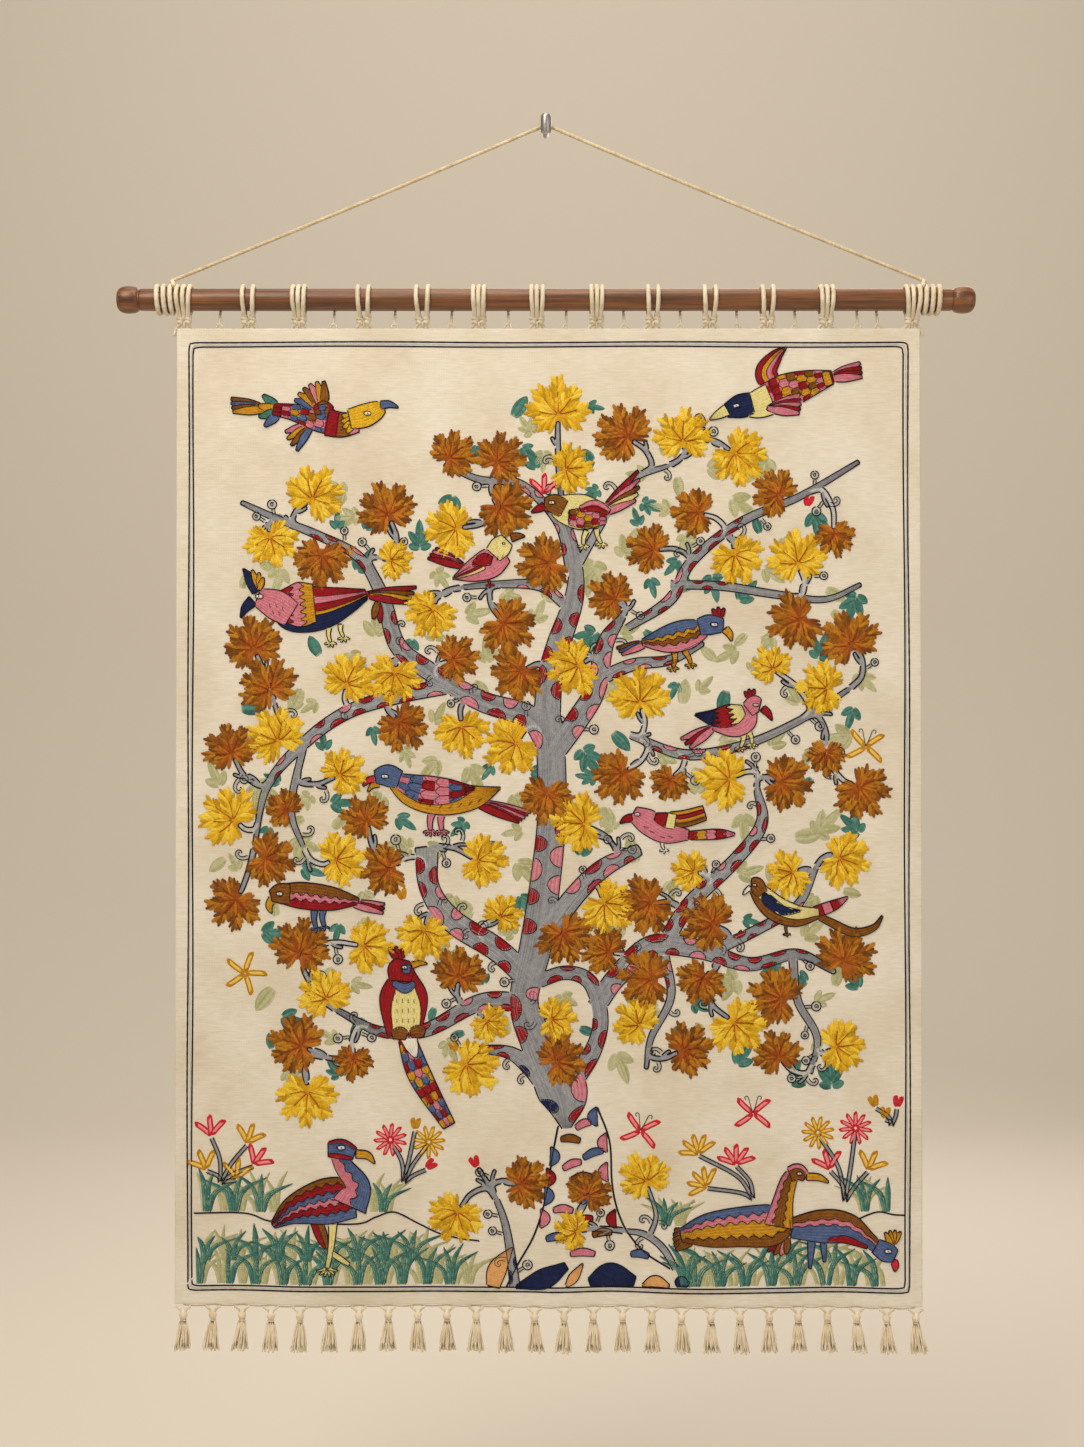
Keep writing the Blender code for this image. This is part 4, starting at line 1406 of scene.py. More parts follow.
# %% Crown
CROWN = (
    # the crown's outline, drawn clockwise from its top
    (10, 1128), (150, 1062), (205, 1090), (262, 1040), (352, 960), (372, 860), (386, 735), (384, 600),
    (352, 500), (380, 360), (350, 262), (250, 285), (200, 300), (130, 330), (60, 300), (-20, 330),
    (-90, 290), (-180, 322), (-235, 290), (-318, 240), (-332, 330), (-318, 430), (-390, 498), (-396, 600),
    (-388, 740), (-362, 812), (-372, 905), (-318, 985), (-240, 1012), (-150, 985), (-110, 1072), (-30, 1088),
)
LEAF_GAP = 59.5


def inside(points, ring):
    """Which points lie inside a closed outline."""
    (x0, y0), (x1, y1) = reals(ring).T, np.roll(ring, -1, axis=0).T
    x, y = points[:, :1], points[:, 1:]
    crosses = (y0 > y) != (y1 > y)
    at = x0 + (y - y0) * (x1 - x0) / np.where(y1 == y0, 1e-9, y1 - y0)
    return (crosses & (x < at)).sum(axis=1) % 2 == 1


# %% Placing leaves
def place_leaves(draw, kept_clear):
    """Leaf places: thrown at random inside the crown, kept apart from each other and from the birds,
    with gold and russet taking turns. kept_clear holds (x, up, reach) circles."""
    placed = [(x, up, size, wool) for x, up, size, wool in LEAVES_BELOW]
    bodies = np.vstack([line for line, width in GREYED.values()])
    widths = np.concatenate([width for line, width in GREYED.values()])
    clear = np.array(kept_clear)
    tries = 0
    while tries < 5000:
        tries += 1
        spot = np.array([draw.uniform(-400, 400), draw.uniform(230, 1135)])
        if not inside(spot[None], CROWN)[0]:
            continue
        if (np.hypot(*(clear[:, :2] - spot).T) < clear[:, 2] + 28).any():
            continue
        if (np.hypot(*(bodies - spot).T) < widths + 14)[widths > 4.5].any():
            continue
        gaps = [math.hypot(spot[0] - x, spot[1] - up) for x, up, _, _ in placed]
        if min(gaps) < LEAF_GAP * (1.0 - 0.000022 * tries):
            continue
        nearest = sorted(placed, key=lambda leaf: math.hypot(spot[0] - leaf[0], spot[1] - leaf[1]))[:3]
        golds = sum(leaf[3] == "gold" for leaf in nearest)
        wool = "russet" if golds > 1 or (golds == 1 and draw.random() < 0.4) else "gold"
        placed.append((spot[0], spot[1], draw.choice((28, 34, 37, 39, 41, 42)), wool))
    return placed


def add_spurs(line, size, draw):
    """Short forked shoots on a twig, on alternate sides."""
    hand = draw.choice((-1, 1))
    for share in (0.3, 0.62):
        at = int(share * (len(line) - 1))
        if len(line) < 8 or draw.random() < 0.25:
            continue
        hand = -hand
        head = line[at + 1] - line[at]
        turn = math.atan2(head[0], head[1]) + hand * math.radians(draw.uniform(28, 50))
        reach = draw.uniform(12, 20)
        bend = turn - hand * 0.35
        middle = line[at] + turned(turn) * reach * 0.55
        spur, width = lofted([line[at], middle, middle + turned(bend) * reach * 0.5], (2.6, 2.0, 1.9), 2.4)
        GREYED[f"spur_{len(GREYED)}"] = (spur, width)
        WOOL["grey"].lay(spur, width * 0.95, FILL_LIFT, base=0.3)


def grow_twigs(leaves, draw):
    """Twigs from the limbs to the leaves. Each leaf, nearest first, is joined to the closest limb or
    twig, so that later leaves hang from earlier twigs. The leaf then points on from its twig."""
    grown = [(line, width) for name, (line, width) in GREYED.items() if name not in ("trunk", "ring")]
    places = np.vstack([line for line, _ in grown])
    heads = np.vstack([np.gradient(line, axis=0) for line, _ in grown])
    left = list(leaves)
    worked = []
    while left:
        gaps = [np.hypot(*(places - (leaf[0], leaf[1])).T).min() for leaf in left]
        x, up, size, wool = left.pop(int(np.argmin(gaps)))
        away = np.hypot(*(places - (x, up)).T)
        if away.min() > 120:
            worked.append((wool, x, up, draw.uniform(0, 360), size))
            continue
        here = int(np.argmin(away + 6 * np.abs(places[:, 1] - up) / (away + 20)))
        start, head = places[here], heads[here] / (np.linalg.norm(heads[here]) + 1e-9)
        goal = np.array([x, up])
        reach = goal - start
        far = np.linalg.norm(reach)
        bow = start + head * min(far * 0.5, 26) + reach * 0.18
        end = goal - (goal - bow) / (np.linalg.norm(goal - bow) + 1e-9) * size * 0.22
        facing = goal - bow
        turn = math.degrees(math.atan2(facing[0], facing[1])) + draw.uniform(-28, 28)
        if np.linalg.norm(end - start) > size * 0.45:
            spine = np.array([start, (start + bow) / 2 + (bow - start) * 0.1, (bow + end) / 2, end])
            line, width = lofted(spine, (3.7, 3.2, 2.9, 2.5), 2.6)
            GREYED[f"twig_{len(GREYED)}"] = (line, width)
            WOOL["pale_grey" if draw.random() < 0.35 else "grey"].lay(line, width * 0.95, FILL_LIFT, base=0.3)
            places = np.vstack([places, line[3:-2]])
            heads = np.vstack([heads, np.gradient(line, axis=0)[3:-2]])
            add_spurs(line, size, draw)
        worked.append((wool, x, up, turn, size))
    return worked


# %% [markdown]
# ## Curls, buds and small leaves
# Tendrils and ringed buds sit along the twigs. Flat teal and sage leaves fill what is left free.

# %% Curls and ringed buds
def curl(start, turn, size, hand):
    """A tendril: a short shoot that ends in a curl."""
    share = np.linspace(0, 1, 22)
    angle = math.radians(turn) + hand * 5.6 * share**1.7
    steps = turned(angle) * (size * (1.35 - share) / 14)[:, None]
    line = np.array(start) + np.cumsum(steps, axis=0)
    WOOL["pale_grey"].lay(line, np.linspace(1.6, 0.9, 22), 0.5)
    edge_stitches(line, np.linspace(2.2, 1.3, 22), 0.8)


def ringed_bud(x, up, size, turn):
    """A round bud: a black ring on pale wool with a smaller ring inside, on a short stem."""
    centre = np.array([x, up])
    stem = centre - turned(math.radians(turn)) * np.array([[size * 2.6], [size * 1.8], [size * 0.9]])
    stem_line = curve(stem, 2.2)
    WOOL["pale_grey"].lay(stem_line, 1.2, 0.5)
    edge_stitches(stem_line, 1.7, 0.8)
    angle = np.linspace(0, 2 * math.pi, 21)
    for ring in range(3):
        around = centre + turned(angle) * size * (0.22 + 0.28 * ring)
        WOOL["pale_grey"].lay(around, size * 0.16, 0.45, sunk_ends=False)
    outline_stitch(centre + turned(angle) * size, 0.9)
    spiral = np.linspace(0, 1, 20)
    inner = centre + turned(math.radians(turn) + 7.5 * spiral) * (size * (0.16 + 0.34 * spiral))[:, None]
    outline_stitch(inner, 0.75)


# %% Leaves without outline
def gap_leaf(wool, x, up, turn, size, points, draw):
    """A flat leaf with three or five long points, without a black edge, for the gaps."""
    heart = np.array([x, up])
    tips = {1: ((0, 1.0),), 3: ((0, 1.0), (38, 0.66), (-38, 0.66)),
            5: ((0, 1.0), (34, 0.78), (-34, 0.78), (68, 0.52), (-68, 0.52))}[points]
    for tip_turn, length in tips:
        root = heart + turned(math.radians(turn)) * size * 0.22 * (1 - abs(tip_turn) / 70)
        way = math.radians(turn + tip_turn * 1.15)
        bend = math.radians(draw.uniform(-12, 12))
        share = np.linspace(0, 1, 8)
        steps = turned(way + bend * (share - 0.4)) * size * length * 0.92 / 7
        line = root + np.cumsum(steps, axis=0) - steps[0]
        wide = size * (0.24 if points == 1 else 0.165)
        halves = wide * np.sin(math.pi * (0.12 + 0.88 * share)) ** 0.75 + 0.2
        fill_rows(line, halves, wool, lift=0.12, pitch=2.6, draw=draw, base=0.25)


def place_gap_leaves(leaves, draw, kept_clear):
    """Teal and sage leaves in what the vine leaves leave free, and a few outside the crown."""
    taken = [(x, up, size * 0.66) for _, x, up, _, size in leaves] + list(kept_clear)
    bodies = np.vstack([line for line, width in GREYED.values() if width.max() > 5])
    widths = np.concatenate([width for _, width in GREYED.values() if width.max() > 5])
    made = 0
    for number in range(2600):
        spot = np.array([draw.uniform(-405, 405), draw.uniform(225, 1120)])
        room = min(math.hypot(spot[0] - x, spot[1] - up) - reach for x, up, reach in taken)
        if room < 8 or (np.hypot(*(bodies - spot).T) < widths + 4).any():
            continue
        if not inside(spot[None] * (0.97, 1.0), CROWN)[0]:
            continue
        wool = "teal" if made % 5 < 2 else "sage"
        size = min(34.0, max(19.0, room * 1.5 + 8)) * (1.15 if wool == "sage" else 1.0)
        gap_leaf(wool, *spot, draw.uniform(0, 360), size, draw.choice((1, 3, 3, 5)), draw)
        taken.append((spot[0], spot[1], size * 0.55))
        made += 1
    return made


def place_trimmings(leaves, draw, kept_clear):
    """Curls along the twigs and limbs, and ringed buds in small gaps."""
    taken = [(x, up, size * 0.72) for _, x, up, _, size in leaves] + list(kept_clear)
    names = [name for name in GREYED if name not in ("trunk", "ring")]
    curls = buds = 0
    for number in range(900):
        line, width = GREYED[draw.choice(names)]
        at = draw.randrange(2, len(line) - 1)
        side = draw.choice((-1, 1))
        head = line[at] - line[at - 1]
        turn = math.degrees(math.atan2(head[0], head[1])) + side * draw.uniform(40, 75)
        size = draw.uniform(14, 22)
        start = line[at] + turned(math.radians(turn)) * width[at]
        middle = start + turned(math.radians(turn)) * size * 0.8
        room = min(math.hypot(middle[0] - x, middle[1] - up) - reach for x, up, reach in taken)
        if room < 5:
            continue
        if draw.random() < 0.55:
            curl(start, turn, size, side)
            curls += 1
        else:
            ringed_bud(*(start + turned(math.radians(turn)) * 15), draw.uniform(4.6, 6.2), turn)
            buds += 1
        taken.append((middle[0], middle[1], 14))
    return curls, buds


# %% [markdown]
# ## Birds
# Fifteen birds sit in the tree, fly above it and stand in the grass. Each is built from lofts: a spine
# with a half width at each point is a body, a feather, a beak or a leg. A pattern says which wool lies
# where along and across a loft, and a black outline row follows every edge between two wools, as in the
# real work. A bird is drawn in its own millimetres, facing right, and is then turned or mirrored.

# %% Patterns on a loft
BIRD_BASE = 0.9
BIRD_LINE = 2.1
KEPT_CLEAR = []


def on_loft(line, width, share, across):
    """Points of a loft at these shares along it and these places across it, from -1 to 1."""
    at = np.clip(share, 0, 1) * (len(line) - 1)
    steps = np.arange(len(line))
    sides = beside(line, 1.0) - line
    place = line_at(at, steps, line)
    side = line_at(at, steps, sides)
    return place + side * (np.interp(at, steps, width) * across)[..., None]


def zigzag(value):
    """A triangle wave from -1 to 1 with one tooth for each whole number."""
    return 4 * np.abs(value - np.floor(value + 0.5)) - 1


def layers(wools, teeth=0, depth=0.0, cuts=None):
    """Wools side by side across a loft, from its right edge to its left. Their edges may be toothed."""
    wools = wools.split()
    cuts = cuts or [2 * (i + 1) / len(wools) - 1 for i in range(len(wools) - 1)]

    def edge(cut, share):
        return cut + depth * zigzag(share * teeth)

    def paint(share, across):
        found = [wools[0]] * len(share)
        for cut, wool in zip(cuts, wools[1:]):
            found = [wool if across > limit else old for old, limit in zip(found, edge(cut, share))]
        return found

    share = np.linspace(0.02, 0.98, 12 + 8 * teeth)
    return paint, [(share, edge(cut, share)) for cut in cuts]


def bands(wools, teeth=2, depth=0.05, cuts=None):
    """Wools one after the other along a loft, with toothed edges."""
    wools = wools.split()
    cuts = cuts or [(i + 1) / len(wools) for i in range(len(wools) - 1)]

    def edge(cut, across):
        return cut + depth * zigzag(np.asarray(across) * teeth / 2 + 0.5)

    def paint(share, across):
        return [wools[sum(place > edge(cut, across) for cut in cuts)] for place in share]

    across = np.linspace(-1, 1, 6 + 8 * teeth)
    return paint, [(edge(cut, across), across) for cut in cuts]


def scales(wools, along, over):
    """Rows of rounded feathers, each row shifted half a feather, in turning colours."""
    wools = wools.split()

    def column(share):
        return np.minimum((np.asarray(share) * along).astype(int), along - 1)

    def paint(share, across):
        found = []
        for place in column(share):
            row = int(math.floor((across + 1) / 2 * over + 0.5 * (place % 2)))
            found.append(wools[(2 * place + 3 * row + place * row % 2) % len(wools)])
        return found

    lines = []
    for place in range(along):
        across = np.linspace(-1, 1, 8 * over + 1)
        bulge = np.abs(np.sin(math.pi * ((across + 1) / 2 * over + 0.5 * (place % 2))))
        lines.append(((place + 1) / along - 0.35 / along * (1 - bulge), across))
        for row in range(over + 1):
            level = 2 * (row - 0.5 * (place % 2)) / over - 1
            if -0.95 < level < 0.95:
                share = np.linspace(place / along, (place + 0.72) / along, 6)
                lines.append((share, np.full(6, level)))
    return paint, lines


# %% Bird parts
class Bird:
    """A bird of lofts, drawn in its own millimetres: x ahead of it and y above."""

    def __init__(self, x, up, turn=0.0, flip=False, size=1.0):
        self.x, self.up, self.flip, self.size = x, up, flip, size
        self.turn = math.radians(turn)
        self.parts = []

    def put(self, points):
        """Places on the panel for points of the bird's own drawing."""
        points = reals(points) * self.size
        c, s = math.cos(self.turn), math.sin(self.turn)
        x, y = points[..., 0] * c - points[..., 1] * s, points[..., 0] * s + points[..., 1] * c
        return np.stack([self.x + (-x if self.flip else x), self.up + y], axis=-1)

    def part(self, spine, halves, pattern):
        """Adds a loft in a wool or a pattern. A later part lies over the earlier ones."""
        line, width = lofted(self.put(spine), reals(halves) * self.size, 1.6)
        paint, lines = (pattern, []) if isinstance(pattern, str) else pattern
        self.parts.append((line, width, paint, lines))
        KEPT_CLEAR.extend((x, up, half + 2) for (x, up), half in zip(line[::4], width[::4]))

    def seen(self, points, number, inset):
        """Which points aren't under a part added after this one."""
        hidden = np.zeros(len(points), dtype=bool)
        for line, width, _, _ in self.parts[number + 1:]:
            width = np.maximum(width - inset, 0.05)
            hidden |= inside(points, rim(line, width))
        return ~hidden

    def made(self):
        """Stitches all the parts: rows along each loft, and black rows along every edge."""
        way = -1 if self.flip else 1
        for number, (line, width, paint, lines) in enumerate(self.parts):
            rows = max(1, math.ceil(2 * width.max() / 2.0))
            share = np.linspace(0, 1, len(line))
            for row in range(rows):
                across = (2 * row + 1) / rows - 1
                place = beside(line, across * width)
                wools = paint(share, way * across) if callable(paint) else [paint] * len(line)
                wools = [wool if shown else None for wool, shown in zip(wools, self.seen(place, number, 1.0))]
                start = 0
                for stop in range(1, len(wools) + 1):
                    if stop < len(wools) and wools[stop] == wools[start]:
                        continue
                    last = min(stop + 1, len(wools))
                    if last - start > 1 and wools[start]:
                        WOOL[wools[start]].lay(
                            place[start:last], (width / rows * 1.15)[start:last],
                            FILL_LIFT, 0.38 + 0.24 * (row % 2), base=BIRD_BASE,
                        )
                    start = stop
            for along, over in lines:
                edge = on_loft(line, width, np.asarray(along), way * np.asarray(over))
                if np.linalg.norm(np.diff(edge, axis=0), axis=1).sum() > 3:
                    edge = even_points(edge, 1.8)
                    outline_stitch(edge, 0.9, BIRD_LINE, keep=self.seen(edge, number, 0.0))
            ring = rim(line, width)
            ring = even_points(np.vstack([ring, ring[:1]]), 2.0)
            outline_stitch(ring, 1.15, BIRD_LINE, keep=self.seen(ring, number, 0.0))

    def fan(self, root, first, last, lengths, wools, half, bend=0.0):
        """Feathers from one root, their angles in degrees from ahead, the last one on top."""
        wools = wools.split()
        for number, wool in enumerate(wools):
            share = number / max(1, len(wools) - 1)
            angle = math.radians(first + (last - first) * share)
            length = lengths[0] + (lengths[1] - lengths[0]) * share
            out = np.array([math.cos(angle), math.sin(angle)])
            side = np.array([-math.sin(angle), math.cos(angle)])
            spine = [np.array(root) + out * length * t + side * bend * t * t for t in (0, 0.5, 1)]
            self.part(spine, (half * 0.55, half, half * 0.35), wool)

    def eye(self, x, y, size=3.2, wool="cream"):
        """An almond eye with a black pupil, worked last, on top of the finished parts."""
        self.made()
        angle = np.linspace(0, 2 * math.pi, 17)
        almond = np.stack([x + 1.5 * size * np.cos(angle), y + size * 0.85 * np.sin(angle)], axis=-1)
        heart = self.put([(x - 1.1 * size, y), (x, y), (x + 1.1 * size, y)])
        WOOL[wool].lay(curve(heart, 1.2), size * 0.75, BIRD_LINE + 0.3, 0.8, base=0.3)
        outline_stitch(self.put(almond), 0.75, BIRD_LINE + 0.4)
        pupil = curve(self.put([(x - 0.3 * size, y), (x + 0.1 * size, y), (x + 0.5 * size, y)]), 0.8)
        WOOL["black"].lay(pupil, size * 0.36, BIRD_LINE + 0.9, base=0.8)

    def dashes(self, marks, length, angle):
        """Short black stitches on the breast or the wing."""
        step = np.array([math.cos(math.radians(angle)), math.sin(math.radians(angle))]) * length
        for x, y in marks:
            line = [(x, y), (x + step[0] / 2, y + step[1] / 2), (x + step[0], y + step[1])]
            outline_stitch(curve(self.put(line), 1.5), 0.6, BIRD_LINE + 0.2)

    def leg(self, hip, foot, wool, half=3.0, toes=4, reach=8.0):
        """A leg with spread toes."""
        middle = ((hip[0] + foot[0]) / 2 + 1.5, (hip[1] + foot[1]) / 2)
        for toe in range(toes):
            angle = math.radians(200 + 140 * toe / (toes - 1))
            tip = (foot[0] + reach * math.cos(angle), foot[1] + reach * 0.8 * math.sin(angle))
            self.part([foot, ((foot[0] + tip[0]) / 2, (foot[1] + tip[1]) / 2), tip], (1.5, 1.3, 0.6), wool)
        self.part([hip, middle, foot], (half, half * 0.7, half * 0.5), wool)


# %% Birds in flight
def flying_bird_left():
    bird = Bird(-289, 1092)
    bird.fan((-56, 6), 164, 184, (48, 44), "bark slate bark mustard", 5.2)
    bird.fan((-40, 4), 140, 222, (30, 28), "teal mustard teal slate", 5.6)
    bird.fan((-2, -14), 186, 232, (34, 36), "rose mustard bark slate", 4.6, bend=4)
    bird.part([(-50, 6), (-24, 2), (6, -6), (24, -10)], (7, 10, 15, 15),
              scales("crimson mustard rose crimson slate bark", 7, 3))
    bird.fan((12, 4), 152, 82, (38, 36), "slate mustard bark rose mustard bark", 5.2, bend=5)
    bird.part([(0, 4), (12, 8), (22, 4)], (5, 8, 5), scales("bark mustard slate crimson", 3, 2))
    bird.part([(16, -10), (34, -13), (54, -10)], (16, 15, 12), bands("crimson bark rose", 0, 0))
    bird.fan((54, -6), 166, 232, (20, 22), "gold gold gold gold", 4.2)
    bird.part([(44, -6), (62, -2), (78, 5), (86, 8)], (12, 14, 11, 6), "gold")
    bird.part([(82, 11), (93, 12), (104, 8)], (5, 4, 0.8), "slate")
    bird.eye(66, 1)


def flying_bird_right():
    bird = Bird(289, 1119, turn=-15, flip=True)
    bird.fan((-56, 2), 170, 192, (46, 44), "rose crimson crimson rose", 5.0)
    bird.part([(8, 8), (14, 28), (-2, 44), (-18, 52)], (12, 13, 8, 1),
              layers("crimson mustard rose crimson", 0))
    bird.part([(-64, 2), (-34, 2), (-4, 0), (24, -3)], (8, 16, 21, 18),
              scales("crimson bark rose crimson mustard bark", 8, 4))
    bird.part([(-62, 2), (-57, 2), (-52, 2)], (7, 9, 8), "mustard")
    bird.part([(16, -4), (34, -6), (50, -5)], (19, 17, 12), "straw")
    bird.fan((24, -14), 176, 208, (44, 40), "rose crimson rose crimson rose", 5.0, bend=-3)
    bird.part([(40, -3), (56, -3), (74, -4)], (13, 14, 8), "navy")
    bird.part([(72, -3), (84, -6), (96, -9)], (7, 5, 0.8), "straw")
    bird.eye(60, -1)


flying_bird_left()
flying_bird_right()


# %% Birds in the crown
def crested_bird():
    bird = Bird(-270, 855, flip=True)
    bird.leg((0, -24), (-2, -42), "straw")
    bird.leg((-14, -20), (-18, -36), "straw")
    bird.fan((-40, 16), 172, 190, (68, 58), "crimson bark mustard crimson", 4.4)
    bird.fan((-60, 8), 262, 284, (26, 22), "crimson bark", 4.6)
    bird.part([(-46, 17), (-20, 8), (10, 0), (42, -2), (62, 2)], (6, 17, 26, 27, 18),
              layers("navy mustard crimson rose crimson", 0, 0, (-0.30, -0.12, 0.22, 0.55)))
    bird.part([(18, 6), (38, 4), (60, 4)], (23, 27, 17), bands("mustard rose crimson", 6, 0.10))
    bird.part([(46, -8), (66, 4), (88, 13)], (16, 18, 11), "rose")
    bird.dashes([(70, -2), (66, 6), (74, 6), (62, -4), (58, 2)], 7, 250)
    bird.part([(88, 20), (96, 34), (106, 48)], (7, 7, 0.8), "navy")
    bird.fan((86, 22), 70, 108, (26, 16), "mustard mustard mustard", 3.6)
    bird.part([(94, 9), (103, 0), (109, -12)], (7, 5, 0.8), "navy")
    bird.eye(86, 14, 3.6)


def pink_breasted_bird():
    bird = Bird(-88, 918)
    bird.leg((10, -24), (16, -34), "crimson", 2.6, 3, 6)
    bird.fan((-12, -14), 148, 166, (46, 50), "crimson rose crimson crimson", 4.2)
    bird.part([(-28, -26), (-6, -18), (16, -8), (34, 4)], (2, 13, 18, 12), "rose")
    bird.part([(-30, -27), (-8, -18), (8, -10)], (1, 5, 6), layers("straw crimson rose", 0))
    bird.part([(-6, -10), (8, -4), (18, -6)], (2, 8, 5), "crimson")
    bird.part([(20, 2), (29, 12), (37, 20)], (11, 13, 9), "straw")
    bird.dashes([(12, -2), (18, -4), (24, -6), (30, -4)], 8, 70)
    bird.part([(42, 23), (50, 25), (59, 25)], (5, 4, 0.8), "bark")
    bird.eye(33, 16, 1.4)


def scaled_bird():
    bird = Bird(45, 972, flip=True)
    bird.leg((-2, -22), (2, -40), "straw", 3.4)
    bird.leg((-14, -20), (-20, -38), "straw", 3.4)
    bird.fan((-16, -4), 132, 158, (74, 50), "crimson rose bark straw rose", 4.6)
    bird.part([(-26, 0), (0, 0), (24, 4), (40, 8)], (10, 21, 18, 10), "straw")
    bird.part([(-26, -8), (-2, -7), (20, -6)], (6, 13, 9), scales("rose crimson mustard rose bark", 5, 3))
    bird.part([(-30, 0), (-12, 8), (6, 4)], (4, 7, 4), layers("crimson rose", 0))
    bird.part([(26, 4), (38, 10), (50, 10)], (11, 12, 7), "bark")
    bird.part([(50, 8), (58, 4), (66, 0)], (5, 4, 0.8), "crimson")
    bird.eye(41, 12, 3.0)


def combed_bird():
    bird = Bird(155, 815)
    bird.leg((0, -14), (-2, -32), "mustard", 3.6)
    bird.leg((12, -12), (20, -28), "mustard", 3.6)
    bird.fan((-28, -1), 190, 203, (44, 40), "bark slate rose", 4.0)
    bird.part([(-40, -2), (-10, 2), (15, 8), (36, 16)], (4, 16, 18, 11),
              layers("rose bark mustard slate", 6, 0.12, (-0.45, -0.05, 0.28)))
    bird.fan((54, 26), 62, 118, (16, 15), "crimson crimson crimson", 3.4)
    bird.part([(30, 17), (44, 20), (60, 19)], (10, 12, 8), "slate")
    bird.part([(62, 15), (68, 8), (70, 0)], (5, 4, 0.8), "mustard")
    bird.eye(49, 20, 3.4)


def pink_combed_bird():
    bird = Bird(218, 719)
    bird.leg((22, -16), (18, -34), "straw", 3.6)
    bird.leg((28, -14), (32, -30), "straw", 3.2)
    bird.fan((-12, -8), 200, 220, (46, 42), "rose crimson rose", 4.6)
    bird.part([(-16, -8), (8, -8), (24, -2), (31, 12)], (5, 13, 13, 8), "rose")
    bird.part([(-38, 6), (-12, 2), (8, 6), (22, 12)], (1, 11, 13, 6),
              bands("navy crimson straw", 4, 0.08, (0.42, 0.72)))
    bird.fan((31, 24), 72, 128, (14, 13), "crimson crimson crimson", 3.0)
    bird.part([(27, 12), (35, 18), (42, 17)], (9, 11, 8), "rose")
    bird.part([(45, 14), (52, 8), (57, -1)], (4.5, 4, 0.8), "crimson")
    bird.eye(37, 18, 2.6)


def checkered_bird():
    bird = Bird(-125, 619, flip=True)
    bird.leg((18, -14), (20, -36), "rose", 4.6, 5, 10)
    bird.leg((6, -14), (6, -36), "rose", 4.6, 5, 10)
    bird.fan((-28, 0), 190, 203, (76, 66), "rose crimson rose crimson crimson", 4.8)
    bird.part([(-66, 16), (-34, 5), (5, 3), (42, 10), (70, 26)], (1, 14, 20, 17, 6), "mustard")
    bird.dashes([(-38, -2), (-26, -6), (-14, -8), (-2, -10), (10, -10), (22, -8), (34, -4), (44, 2)], 9, 130)
    bird.part([(-36, 16), (-6, 12), (28, 14), (64, 26)], (1, 14, 17, 8), scales("crimson rose slate", 6, 3))
    bird.part([(84, 22), (92, 18), (97, 11)], (5, 3, 0.8), "mustard")
    bird.part([(86, 27), (96, 25), (103, 18)], (5, 3.4, 0.8), "coral")
    bird.part([(58, 26), (73, 31), (88, 29)], (11, 13, 8), "slate")
    bird.eye(76, 30, 3.4)


def banded_tail_bird():
    bird = Bird(158, 590, flip=True)
    bird.leg((18, -18), (16, -30), "cream", 2.4, 3, 6)
    bird.part([(-71, -11), (-50, -11), (-12, -13)], (1.5, 6, 5),
              bands("rose crimson rose mustard crimson", 2, 0.03))
    bird.part([(-34, 15), (-10, 8), (8, 7)], (9, 10, 9), layers("bark mustard crimson mustard", 0))
    bird.part([(-14, -12), (14, -9), (36, 4), (54, 14)], (6, 13, 15, 9), "rose")
    bird.part([(2, 4), (14, 6), (27, 10)], (9, 9, 5), bands("straw crimson", 0, 0, (0.42,)))
    bird.dashes([(34, -4), (26, -10), (14, -16), (4, -16)], 9, 20)
    bird.part([(55, 9), (63, 7), (70, 2)], (5, 4, 0.8), "crimson")
    bird.eye(49, 13, 2.6)


def parrot():
    bird = Bird(-273, 487, flip=True)
    bird.leg((14, -2), (12, -24), "slate", 4.2, 3, 7)
    bird.leg((4, -2), (2, -22), "slate", 4.0, 3, 7)
    bird.fan((-26, 7), 182, 196, (46, 46), "rose crimson rose", 4.0)
    bird.part([(-40, 9), (-8, 12), (28, 16), (54, 18)], (4, 14, 16, 12),
              layers("crimson rose bark", 8, 0.14, (-0.35, 0.12)))
    bird.part([(66, 12), (70, 3), (67, -6)], (5, 4, 0.8), "mustard")
    bird.part([(44, 18), (57, 18), (68, 15)], (12, 12, 7), "bark")
    bird.eye(57, 18, 3.2)


def frontal_bird():
    bird = Bird(-178, 370)
    bird.part([(2, -36), (20, -88), (56, -150)], (10, 14, 8),
              scales("crimson rose mustard crimson slate rose", 11, 3))
    bird.part([(3, -34), (10, -52), (15, -66)], (10, 8, 2), "cream")
    bird.part([(0, 40), (0, 8), (0, -40)], (13, 29, 20), "crimson")
    bird.part([(2, 24), (3, -4), (3, -36)], (10, 18, 16), "straw")
    bird.dashes([(x, y) for y in (-24, -12, 0) for x in (-8, -1, 6, 13)], 7, 92)
    bird.part([(-13, 26), (2, 19), (14, 26)], (3, 6, 3), "slate")
    bird.fan((-4, 50), 84, 126, (18, 24), "crimson crimson crimson", 4.2)
    bird.part([(-4, 28), (-3, 42), (0, 54)], (13, 16, 10), "crimson")
    bird.part([(10, 47), (20, 50), (29, 49)], (4, 3, 0.8), "mustard")
    bird.part([(-1, 44), (4, 43), (9, 42)], (5, 6, 4), "slate")
    bird.part([(-14, -38), (-4, -36), (4, -40)], (5, 8, 5), "bark")
    bird.part([(8, -36), (18, -34), (26, -36)], (5, 8, 5), "bark")
    bird.eye(1, 45, 2.8)


